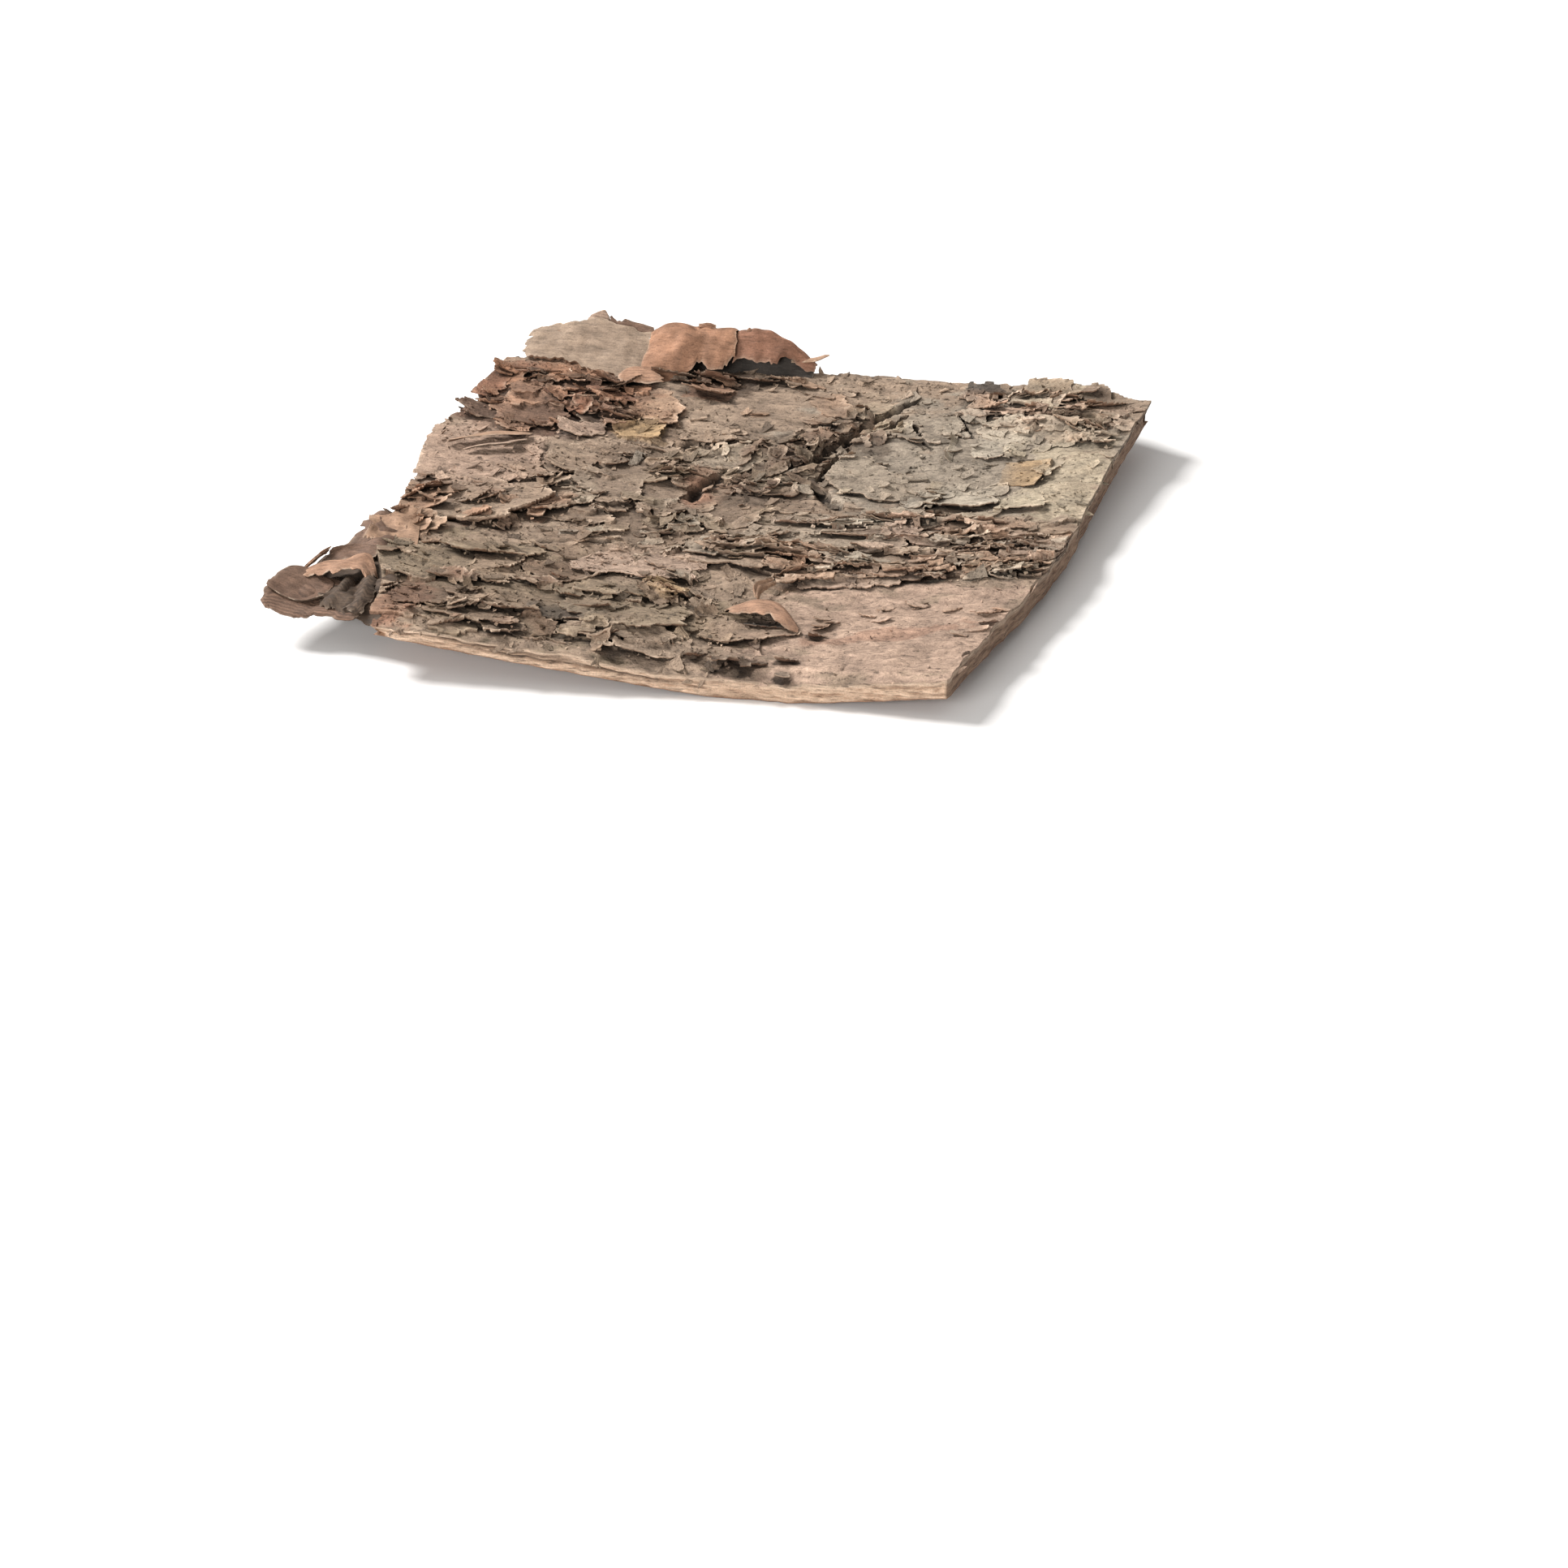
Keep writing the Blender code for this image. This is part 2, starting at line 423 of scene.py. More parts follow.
class Ground:
    """Level of the uppermost surface over the piece's plan, which rises as layers are stacked on it."""

    PITCH = Grain.SPACING
    LOW = (-27.0, -6.0)
    HIGH = (121.0, 125.0)
    RELIEF = (0.3, 0.1)  # of the broad and the fine waves of the slab's top
    CUT_PROUD = 0.1  # how far layers may stand out past the cut sides, in millimetres
    TORN_PROUD = 1.5  # and past the torn ones
    BEVEL = (0.7, 2.5)  # depth and width of the worn front edge
    REACH = 5  # cells that the smoothed level is averaged over
    # Painted shade and painted highlight: points below the smoothed level are darkened, points above it
    # lightened.
    LEVEL_SHARE = 1.04  # share of its colour that level ground shows
    CAVITY_SHADE = 0.9  # change of that share for each millimetre above or below the smoothed level
    CAVITY_SHADE_RANGE = (-0.74, 0.24)

    def __init__(self, shape: SlabShape, grain: Grain, cracks: tuple[Crack, ...]) -> None:
        """Lays the bare slab's top out as a map.

        Args:
            shape: The slab's shape.
            grain: Where its noise comes from.
            cracks: The cracks that cross it.
        """
        self.shape = shape
        self.broad = grain.square((17, 11))
        self.fine = grain.square((5, 2), 3)
        self.rough = grain.square((3, 2.4), 3)
        columns = np.arange(self.LOW[0], self.HIGH[0], self.PITCH)
        rows = np.arange(self.LOW[1], self.HIGH[1], self.PITCH)
        self.x, self.y = np.meshgrid(columns, rows)
        u, v = shape.shares(self.x, self.y)
        cut = np.minimum(v * shape.depth, (1 - u) * shape.width) + self.CUT_PROUD
        torn = np.minimum(u * shape.width, (1 - v) * shape.depth) + self.TORN_PROUD
        self.room = np.minimum(cut, torn)
        self.clear = self._clear_of(cracks)
        self.level = shape.underside(u, v) + shape.core + self.relief(self.x, self.y)
        self.cracked = np.zeros(self.x.shape)
        for crack in cracks:
            inside = ease(1.3 - self._distance(crack) / crack.half_width)
            self.level -= crack.depth * inside
            self.cracked = np.maximum(self.cracked, inside * min(1.0, crack.depth / 0.8))
        from_front = v * shape.depth + 0.3 * Grain.at(self.rough, self.x, self.y)
        self.level -= self.BEVEL[0] * ease(1.1 - from_front / self.BEVEL[1])
        self.bare = self.level.copy()
        self.colour = np.zeros(self.x.shape + (3,))
        self.calm = np.zeros(self.x.shape, bool)

    def relief(self, x: np.ndarray, y: np.ndarray) -> np.ndarray:
        """Waves of the slab's own top at plan places."""
        waves = self.RELIEF[0] * Grain.at(self.broad, x, y) + self.RELIEF[1] * Grain.at(self.fine, x, y)
        return np.clip(waves, -0.8, 0.8)

    def _distance(self, crack: Crack) -> np.ndarray:
        """Distance of the map from a crack's line, drawn in at its ends.

        Args:
            crack: The crack.

        Returns:
            One distance for each place of the map.
        """
        steps = along(crack.points, np.linspace(0, 1, 10 * len(crack.points)))
        nearest = np.full(self.x.shape, 1e3)
        for k, (here, there) in enumerate(zip(steps[:-1], steps[1:])):
            run = there - here
            share = ((self.x - here[0]) * run[0] + (self.y - here[1]) * run[1]) / (run @ run)
            share = np.clip(share, 0, 1)
            gap = np.hypot(self.x - here[0] - share * run[0], self.y - here[1] - share * run[1])
            middle = 1 - abs(2 * (k + 0.5) / (len(steps) - 1) - 1)
            nearest = np.minimum(nearest, gap + crack.half_width * (1 - min(1.0, 3 * middle)))
        return nearest + 0.25 * Grain.at(self.rough, self.x, self.y)

    def _clear_of(self, cracks: tuple[Crack, ...]) -> np.ndarray:
        """How far every place is from the nearest crack's side, less than 0 inside one."""
        return np.min([self._distance(crack) - crack.half_width for crack in cracks], axis=0)

    def window(self, centre: Pair, reach: float) -> tuple[slice, slice]:
        """The part of the map within reach of a place.

        Args:
            centre: The place.
            reach: How far the part goes each way.

        Returns:
            Slices of the map's rows and columns.
        """
        spans = []
        for axis, size in ((1, self.x.shape[0]), (0, self.x.shape[1])):
            middle = (centre[axis] - self.LOW[axis]) / self.PITCH
            low = int(np.clip(middle - reach / self.PITCH, 0, size - 4))
            high = int(np.clip(middle + reach / self.PITCH + 2, low + 4, size))
            spans.append(slice(low, high))
        return spans[0], spans[1]

    def height(self, x: np.ndarray, y: np.ndarray, bare: bool = False) -> np.ndarray:
        """Reads the map between its samples.

        Args:
            x: Places along X.
            y: Places along Y.
            bare: True for the slab's own top, without the layers on it.

        Returns:
            The level at each place.
        """
        column = np.clip((x - self.LOW[0]) / self.PITCH, 0, self.x.shape[1] - 1.001)
        row = np.clip((y - self.LOW[1]) / self.PITCH, 0, self.x.shape[0] - 1.001)
        left, low = column.astype(int), row.astype(int)
        right, up = column - left, row - low
        level = self.bare if bare else self.level
        near = level[low, left] * (1 - right) + level[low, left + 1] * right
        far = level[low + 1, left] * (1 - right) + level[low + 1, left + 1] * right
        return near * (1 - up) + far * up

    def settle(self) -> None:
        """Smooths the finished level, to tell hollows from crests."""
        smooth = np.pad(self.level, self.REACH, mode="edge")
        width = self.REACH + 1
        for axis in (0, 1, 0, 1):
            sums = np.cumsum(np.insert(smooth, 0, 0, axis=axis), axis=axis)
            count = sums.shape[axis]
            high = np.take(sums, range(width, count), axis)
            low = np.take(sums, range(count - width), axis)
            smooth = (high - low) / width
        self.smooth = smooth

    def cell(self, x: np.ndarray, y: np.ndarray) -> tuple[np.ndarray, np.ndarray]:
        """The map's cells nearest to plan places.

        Args:
            x: Places along X.
            y: Places along Y.

        Returns:
            Rows and columns of the map.
        """
        column = np.rint((x - self.LOW[0]) / self.PITCH).astype(int)
        row = np.rint((y - self.LOW[1]) / self.PITCH).astype(int)
        return np.clip(row, 0, self.x.shape[0] - 1), np.clip(column, 0, self.x.shape[1] - 1)

    def cavity_shading(self, points: np.ndarray) -> np.ndarray:
        """How far painted shade darkens hollows and painted highlight lightens crests."""
        above = points[:, 2] - self.smooth[self.cell(points[:, 0], points[:, 1])]
        return self.LEVEL_SHARE + np.clip(self.CAVITY_SHADE * (above + 0.02), *self.CAVITY_SHADE_RANGE)

    def shown_colour(self, x: np.ndarray, y: np.ndarray) -> np.ndarray:
        """The linear colour of whatever lies uppermost at plan places."""
        return self.colour[self.cell(x, y)]


@dataclass(frozen=True)
class Flake:
    """One fragment of a layer: its outline, how it stands, and its colour."""

    centre: Pair
    half: Pair
    turn: float
    tone: Tone
    lift: float = 0.6
    free: float = -90.0  # direction of the side that stands up, in degrees from +X
    thickness: float = 0.35
    jag: float = 0.7
    square: float = 2.6
    curl: float = 0.3
    bend: float = 2.0
    drape: float = 0.5
    rim: float = 0.6
    own: float = 0.6  # share of its own colour at its free side
    calm: bool = False  # True where few small flakes lie on it
    outline: tuple[Pair, ...] = ()


def flake(outline: tuple[Pair, ...], tone: Tone, **more: float) -> Flake:
    """A flake from the corners of its outline.

    Args:
        outline: The corners, in either direction.
        tone: Its colour.
        **more: Any other of its sizes.

    Returns:
        The flake, with the centre and half sizes that its outline gives.
    """
    corners = np.array(outline, float)
    low, high = corners.min(0), corners.max(0)
    centre, half = (low + high) / 2, (high - low) / 2
    return Flake(tuple(centre), tuple(half), 0.0, tone, outline=outline, **more)


class Layering:
    """Stacks flakes on the ground, each resting on what lies under it."""

    STEP_KEPT = 0.8  # the most that one flake raises the level for the next ones
    ON_CALM = 0.06  # share of the small flakes kept where a calm flake lies
    FEWEST_CELLS = 6  # a smaller flake is left out
    UNDER = Tone.INNER

    def __init__(self, ground: Ground, grain: Grain) -> None:
        """Makes the noise that tears, buckles and tints the flakes.

        Args:
            ground: The map that the flakes are stacked on.
            grain: Where the noise comes from.
        """
        self.ground = ground
        self.random = grain.random
        self.tear = grain.square((7, 4.5), 5, 0.62)
        self.buckle = grain.square((9, 6), 3)
        self.tint = grain.square((6, 3), 4, 0.6)
        self.patchy = grain.square((4, 4), 2)

    def add(self, piece: Flake, batch: MeshBatch) -> None:
        """Builds one flake and raises the ground under it.

        Args:
            piece: The flake.
            batch: The mesh that it goes into.
        """
        ground, pitch = self.ground, self.ground.PITCH
        rows, columns = ground.window(piece.centre, max(piece.half) * 1.3 + 2 * piece.jag + 1)
        x, y = ground.x[rows, columns], ground.y[rows, columns]
        shift = self.random.integers(0, Grain.SIZE, 2)
        pick = np.ix_(*[(np.arange(size) + start) % Grain.SIZE for size, start in zip(x.shape, shift)])
        dx, dy = x - piece.centre[0], y - piece.centre[1]
        inside = self._outline(piece, x, y, dx, dy) + piece.jag * self.tear[pick]
        inside = np.minimum(np.minimum(inside, ground.clear[rows, columns]), ground.room[rows, columns])
        cells = self._one_patch((inside[:-1, :-1] + inside[1:, :-1] + inside[:-1, 1:] + inside[1:, 1:]) / 4)
        if cells.sum() < self.FEWEST_CELLS:
            return
        used = np.zeros(x.shape, bool)
        full = np.zeros(x.shape, int)
        for dj in (0, 1):
            for di in (0, 1):
                spot = (slice(dj, dj + cells.shape[0]), slice(di, di + cells.shape[1]))
                used[spot] |= cells
                full[spot] += cells
        level = ground.level[rows, columns]
        standing = self._share_up(piece, dx, dy)
        top = self._top(piece, level, used, dx, dy, standing, inside) + 0.12 * self.buckle[pick] * standing
        top = np.maximum(top, level + 0.03)
        thick = piece.thickness * (0.2 + 0.8 * ease(2.5 * standing)) * (0.55 + 0.45 * ease(inside / 1.2))
        slope_y, slope_x = np.gradient(inside, pitch)
        steep = np.maximum(slope_x**2 + slope_y**2, 0.2)
        rim = used & (full < 4)
        move = np.where(rim, np.clip(inside / steep, -0.6 * pitch, 0.6 * pitch), 0)
        x, y = x - move * slope_x, y - move * slope_y
        upper = np.stack([x, y, top], -1)[used]
        lower = np.stack([x, y, top - thick], -1)[used]
        faces = self._faces(cells, used)
        plain, *tints = self._colours(piece, pick, inside, standing, ground.colour[rows, columns])
        batch.add(np.concatenate([upper, lower]), np.concatenate([tint[used] for tint in tints]), faces)
        raised = np.where(used, np.minimum(top, level + self.STEP_KEPT), level)
        ground.level[rows, columns] = np.maximum(level, raised)
        ground.colour[rows, columns] = np.where(used[..., None], plain, ground.colour[rows, columns])
        ground.calm[rows, columns] &= ~used
        if piece.calm:
            ground.calm[rows, columns] |= used & (inside > 0.8)

    def scatter(self, zone: "Zone", small: bool, batch: MeshBatch) -> None:
        """Stacks the large or the small flakes of a zone, few of them where a calm flake lies.

        Args:
            zone: The zone.
            small: True for its small flakes.
            batch: The mesh that they go into.
        """
        for _ in range(zone.small if small else zone.large):
            piece = zone.draw(self.random, small)
            calm = self.ground.calm[self.ground.cell(*piece.centre)]
            if not calm or self.random.random() < self.ON_CALM:
                self.add(piece, batch)

    def _outline(
        self, piece: Flake, x: np.ndarray, y: np.ndarray, dx: np.ndarray, dy: np.ndarray
    ) -> np.ndarray:
        """Depth of places inside the flake's smooth outline.

        Args:
            piece: The flake.
            x: Places along X.
            y: Places along Y.
            dx: Places along X from the flake's centre.
            dy: Places along Y from it.

        Returns:
            Depths in millimetres, less than 0 outside the outline.
        """
        if not piece.outline:
            turn = math.radians(piece.turn)
            far = abs(dx * math.cos(turn) + dy * math.sin(turn)) / piece.half[0]
            wide = abs(dy * math.cos(turn) - dx * math.sin(turn)) / piece.half[1]
            return (1 - (far**piece.square + wide**piece.square) ** (1 / piece.square)) * min(piece.half)
        corners = np.array(piece.outline, float)
        nearest, crossings = np.full(x.shape, 1e3), np.zeros(x.shape, int)
        for here, there in zip(corners, np.roll(corners, -1, 0)):
            run = there - here
            share = np.clip(((x - here[0]) * run[0] + (y - here[1]) * run[1]) / (run @ run), 0, 1)
            gap = np.hypot(x - here[0] - share * run[0], y - here[1] - share * run[1])
            nearest = np.minimum(nearest, gap)
            spans = (here[1] > y) != (there[1] > y)
            rise = run[1] if run[1] else 1e-9
            crossings += spans & (x < here[0] + (y - here[1]) * run[0] / rise)
        return np.where(crossings % 2 == 1, nearest, -nearest)

    def _one_patch(self, depth: np.ndarray) -> np.ndarray:
        """The cells that hang together with the deepest one, with no pinched corners.

        Args:
            depth: Depth of each cell inside the outline.

        Returns:
            True for each cell of the flake.
        """
        wanted = depth > 0
        for _ in range(2):
            rising = wanted[:-1, :-1] & wanted[1:, 1:] & ~wanted[1:, :-1] & ~wanted[:-1, 1:]
            wanted[1:, :-1] |= rising
            falling = ~wanted[:-1, :-1] & ~wanted[1:, 1:] & wanted[1:, :-1] & wanted[:-1, 1:]
            wanted[1:, 1:] |= falling
        reached = np.zeros_like(wanted)
        reached[np.unravel_index(np.argmax(depth), depth.shape)] = True
        reached &= wanted
        size = 0
        while reached.sum() > size:
            size = reached.sum()
            for _ in range(4):
                grown = reached.copy()
                grown[1:] |= reached[:-1]
                grown[:-1] |= reached[1:]
                grown[:, 1:] |= reached[:, :-1]
                grown[:, :-1] |= reached[:, 1:]
                reached = grown & wanted
        return reached

    def _share_up(self, piece: Flake, dx: np.ndarray, dy: np.ndarray) -> np.ndarray:
        """How far places are from the flake's attached side towards its free side.

        Args:
            piece: The flake.
            dx: Places along X from the flake's centre.
            dy: Places along Y from it.

        Returns:
            Shares from 0 to a little over 1.
        """
        free = math.radians(piece.free)
        turn = math.radians(piece.turn)
        reach = math.hypot(piece.half[0] * math.cos(free - turn), piece.half[1] * math.sin(free - turn))
        return np.clip(((dx * math.cos(free) + dy * math.sin(free)) / reach + 1) / 2, 0, 1.15)

    def _top(
        self,
        piece: Flake,
        level: np.ndarray,
        used: np.ndarray,
        dx: np.ndarray,
        dy: np.ndarray,
        standing: np.ndarray,
        inside: np.ndarray,
    ) -> np.ndarray:
        """Height of the upper side: a plane laid on the ground, draped, lifted and curled.

        Args:
            piece: The flake.
            level: Level of the ground.
            used: True where the flake is.
            dx: Places along X from the flake's centre.
            dy: Places along Y from it.
            standing: Shares from the attached side.
            inside: Depth inside the outline.

        Returns:
            Heights in millimetres.
        """
        terms = np.stack([np.ones(used.sum()), dx[used], dy[used]], 1)
        plane = np.linalg.lstsq(terms, level[used], rcond=None)[0]
        flat = plane[0] + plane[1] * dx + plane[2] * dy + 0.5 * piece.thickness
        rolled = piece.curl * standing * np.exp(-np.maximum(inside, 0) / 0.9)
        return flat + piece.drape * (level - flat) + piece.lift * standing**piece.bend + rolled

    def _faces(self, cells: np.ndarray, used: np.ndarray) -> list[np.ndarray]:
        """The quads of a closed shell, its lower points numbered after its upper ones.

        Args:
            cells: True for each cell of the flake.
            used: True for each point of it.

        Returns:
            Arrays of quads, faces outward.
        """
        count = int(used.sum())
        number = np.full(used.shape, -1)
        number[used] = np.arange(count)
        j, i = np.nonzero(cells)
        corner = [number[j, i], number[j, i + 1], number[j + 1, i + 1], number[j + 1, i]]
        quads = [np.stack(corner, 1), np.stack(corner[::-1], 1) + count]
        padded = np.pad(cells, 1)
        for k, (dj, di) in enumerate(((-1, 0), (0, 1), (1, 0), (0, -1))):
            open_side = ~padded[j + 1 + dj, i + 1 + di]
            here, there = corner[k][open_side], corner[(k + 1) % 4][open_side]
            quads.append(np.stack([there, here, here + count, there + count], 1))
        return quads

    def _colours(
        self, piece: Flake, pick: tuple, inside: np.ndarray, standing: np.ndarray, under: np.ndarray
    ) -> tuple[np.ndarray, np.ndarray, np.ndarray]:
        """Colours of the two sides.

        Args:
            piece: The flake.
            pick: The part of the noise that it uses.
            inside: Depth inside the outline.
            standing: Shares from the attached side.
            under: Colour of the ground.

        Returns:
            Colours of the upper side without and with its pale torn rim, and of the browner lower side.
        """
        warm = 0.02 * self.random.normal()
        own = linear(piece.tone.value) * self.random.uniform(0.86, 1.14) * (1 + warm, 1, 1 - warm)
        tint = np.clip(1 + 0.11 * self.tint[pick], 0.6, 1.45)[..., None]
        plain = mix(under, own * tint, piece.own * ease(0.3 + 1.4 * standing))
        pale = piece.rim * np.exp(-np.maximum(inside, 0) / 0.28) * ease(0.6 + 0.7 * self.patchy[pick])
        pale = pale * (0.15 + 0.85 * standing.clip(0, 1))
        lower = mix(plain * 0.7, linear(self.UNDER.value), np.full(inside.shape, 0.45))
        torn = linear(Tone.TORN.value)
        return plain, mix(plain, torn, pale * 0.8), mix(lower, torn, 0.4 * pale)


@dataclass(frozen=True)
class Zone:
    """A stretch of the surface with one habit of flaking."""

    batch: str  # name of the mesh that its flakes go into
    centre: Pair
    half: Pair
    turn: float
    large: int  # how many large flakes
    small: int  # how many small ones
    length: Pair  # half lengths of the large ones
    slim: Pair  # length over width
    heading: Pair  # mean and spread, in degrees
    free: Pair
    lift: Pair
    tones: tuple[Tone, ...]
    own: float = 0.55
    thickness: Pair = (0.22, 0.45)
    jag: Pair = (0.4, 0.9)
    square: Pair = (2.0, 4.0)
    curl: Pair = (0.1, 0.5)
    rim: Pair = (0.2, 0.9)
    drape: Pair = (0.3, 0.8)
    bend: Pair = (1.5, 3.0)

    def draw(self, random: np.random.Generator, small: bool) -> Flake:
        """Draws one flake of this zone.

        Args:
            random: The source of its sizes.
            small: True for one of the small flakes.

        Returns:
            The flake.
        """
        angle, radius = random.uniform(0, 2 * math.pi), math.sqrt(random.random())
        turn = math.radians(self.turn)
        far, wide = self.half[0] * radius * math.cos(angle), self.half[1] * radius * math.sin(angle)
        place = (
            self.centre[0] + far * math.cos(turn) - wide * math.sin(turn),
            self.centre[1] + far * math.sin(turn) + wide * math.cos(turn),
        )
        low, high = (1.1, 0.45 * self.length[1]) if small else self.length
        length = low * (high / low) ** random.random()
        width = length / random.uniform(*self.slim)
        return Flake(
            place,
            (length, width),
            random.normal(*self.heading),
            self.tones[random.integers(len(self.tones))],
            lift=random.uniform(*self.lift) * min(1.0, length / 3.0),
            free=random.normal(*self.free),
            thickness=random.uniform(*self.thickness),
            jag=random.uniform(*self.jag) * min(1.0, width / 2.0),
            square=random.uniform(*self.square),
            curl=random.uniform(*self.curl),
            bend=random.uniform(*self.bend),
            drape=random.uniform(*self.drape),
            rim=random.uniform(*self.rim),
            own=self.own,
        )


class BarkSlab:
    """The slab itself: its worn top, its four walls of layered bark and its smooth inner side."""

    TOP = (260, 268)  # cells across and from front to back
    COARSE = 4  # cells of the top to each cell of the underside
    WALL_ROWS = 9
    FIBRE_DEPTH = (0.1, 0.05)  # of the fibres in the front wall and in the others, in millimetres
    SPLIT_DEPTH = 0.55
    TORN_WANDER = 1.1  # millimetres that the left side wanders by
    BACK_WANDER = 0.55
    CUT_WANDER = 0.1
    PAINT = (
        Patch((84, 16), (30, 20), 0, Tone.PINK_TAN),
        Patch((52, 101), (27, 17), 0, Tone.GREY_TAN),
        Patch((0, 70), (13, 16), 0, Tone.PINK_TAN),
        Patch((6, 95), (20, 15), 0, Tone.BROWN),
        Patch((20, 20), (34, 20), 0, Tone.MOSS_GREY),
        Patch((38, 60), (26, 24), 0, Tone.GREY_BROWN),
        Patch((84, 84), (27, 27), 0, Tone.LICHEN),
        Patch((103, 72), (7, 32), 5, Tone.YELLOW_LICHEN, 0.7),
        Patch((58, 82), (22, 8), 62, Tone.UMBER, 0.85),
        Patch((78, 50), (34, 11), 5, Tone.GREY_TAN),
        Patch((80, 17), (12, 2.2), 14, Tone.RUST, 0.45),
        Patch((40, 66), (3, 9), 10, Tone.RUST, 0.6),
        Patch((2, 8), (4.5, 12), 0, Tone.RUST, 0.8),
        # Painted shade in the hollow under the back flap.
        Patch((34, 108), (7, 8), 0, Tone.UMBER, 0.9),
    )

    def __init__(self, ground: Ground, grain: Grain) -> None:
        """Makes the noise of the slab's edges and walls.

        Args:
            ground: The map with its top.
            grain: Where the noise comes from.
        """
        self.ground, self.shape = ground, ground.shape
        self.edge = grain.square((7, 7), 5, 0.6)
        self.fibre = grain.square((16, 0.8), 4, 0.75)
        self.chip = grain.square((3, 3), 3)
        self.mottle = grain.square((9, 5), 5, 0.65)
        self.fleck = grain.square((2.4, 1.2), 3, 0.7)
        self.stria = grain.square((40, 1.6), 4, 0.65)
        # Painted shade: the cracks are darkened to deep umber, as shade falls in them.
        dark = linear(Tone.UMBER.value) * 0.45
        ground.colour = mix(self.top_colours(ground.x, ground.y), dark, 0.85 * ground.cracked)

    def build(self, batch: MeshBatch) -> None:
        """Adds the slab as one closed shell.

        Args:
            batch: The mesh that it goes into: its top in slot 0, walls in slot 1 and underside in slot 2.
        """
        across, up = self.TOP
        v, u = np.meshgrid(np.arange(up + 1) / up, np.arange(across + 1) / across, indexing="ij")
        x, y = self._place(u, v)
        top = np.stack([x, y, self.ground.height(x, y, bare=True)], -1)
        bottom = np.stack([x, y, self.shape.underside(u, v) + self.shape.thinning(x, y)], -1)
        number = np.arange(x.size).reshape(x.shape)
        quads = grid_quads(number)
        ring = grid_rim(number)
        coarse_shape = x[:: self.COARSE, :: self.COARSE].shape
        coarse = np.arange(math.prod(coarse_shape)).reshape(coarse_shape)
        walls, wall_colours = self._walls(u.ravel()[ring], v.ravel()[ring], top.reshape(-1, 3)[ring])
        base = bottom[:: self.COARSE, :: self.COARSE].reshape(-1, 3)
        first_base = x.size + walls.shape[0] * walls.shape[1]
        rows = [ring] + [x.size + row * len(ring) + np.arange(len(ring)) for row in range(len(walls))]
        sides = [
            np.stack([upper, lower, np.roll(lower, -1), np.roll(upper, -1)], 1)
            for upper, lower in zip(rows, rows[1:])
        ]
        foot = grid_rim(coarse) + first_base
        above = [np.roll(rows[-1], -step)[:: self.COARSE] for step in range(self.COARSE, -1, -1)]
        hem = np.stack([foot, np.roll(foot, -1)] + above, 1)
        points = np.concatenate([top.reshape(-1, 3), walls.reshape(-1, 3), base])
        # Painted shade in the hollows of the top and painted highlight on its crests.
        wear_and_shade = self.ground.cavity_shading(top.reshape(-1, 3))[:, None]
        seen = self.ground.shown_colour(x, y).reshape(-1, 3) * wear_and_shade
        colours = [seen, wall_colours.reshape(-1, 3), self._inner_colours(base)]
        faces = [quads, *sides, hem, grid_quads(coarse)[:, ::-1] + first_base]
        batch.add(points, np.concatenate(colours), faces, [0] + [1] * (len(sides) + 1) + [2])

    def _place(self, u: np.ndarray, v: np.ndarray) -> tuple[np.ndarray, np.ndarray]:
        """Places of the top's points: torn sides ragged, cut sides nearly straight.

        Args:
            u: Shares from left to right.
            v: Shares from front to back.

        Returns:
            X and Y, in design millimetres.
        """
        x, y = self.shape.plan(u, v)
        from_left, from_right = u * self.shape.width, (1 - u) * self.shape.width
        from_front, from_back = v * self.shape.depth, (1 - v) * self.shape.depth
        ragged = Grain.at(self.edge, x, y)
        chipped = Grain.at(self.chip, x, y)
        pull = [np.exp(-distance / 2.5) for distance in (from_left, from_back, from_right, from_front)]
        x = x - pull[0] * self.TORN_WANDER * ragged + pull[2] * self.CUT_WANDER * chipped
        y = y + pull[1] * self.BACK_WANDER * ragged - pull[3] * self.CUT_WANDER * chipped
        return x, y

    def _walls(self, u: np.ndarray, v: np.ndarray, rim: np.ndarray) -> tuple[np.ndarray, np.ndarray]:
        """The walls below the rim: long fibres in layers, with cracks between them.

        Args:
            u: Shares from left to right.
            v: Shares from front to back.
            rim: Points of the top's rim.

        Returns:
            Points and colours, a row of each at every height.
        """
        side = [u <= 0, v >= 1, u >= 1, v <= 0]
        torn = ease(1 - np.minimum(u * self.shape.width, (1 - v) * self.shape.depth) / 3)
        foot = self.shape.underside(u, v) + self.shape.thinning(rim[:, 0], rim[:, 1])
        outward = np.zeros((len(u), 2))
        for flags, way in zip(side, ((-1, 0), (0, 1), (1, 0), (0, -1))):
            outward[flags] += way
        outward /= np.maximum(np.linalg.norm(outward, axis=1), 1)[:, None]
        run = np.cumsum(np.r_[0, np.linalg.norm(np.diff(rim[:, :2], axis=0), axis=1)])
        points, colours = [], []
        front = side[3] & (u < 1)
        for row in range(1, self.WALL_ROWS):
            share = row / self.WALL_ROWS
            z = rim[:, 2] * (1 - share) + foot * share
            band = Grain.at(self.fibre, run, z * 2.2 + 40)
            split = self._split(share, run) * front
            depth = np.where(front, *self.FIBRE_DEPTH) * band - self.SPLIT_DEPTH * np.minimum(split, 1)
            depth = depth - torn * (0.3 + 1.5 * share**2)
            depth = depth * ease(4 * share) * ease(5.5 * (1 - share) + 0.25) + 0.12 * (share < 0.15)
            place = rim[:, :2] + outward * depth[:, None]
            points.append(np.concatenate([place, z[:, None]], 1))
            colours.append(self._wall_colour(share, band, front, torn, split))
        return np.array(points), np.array(colours)

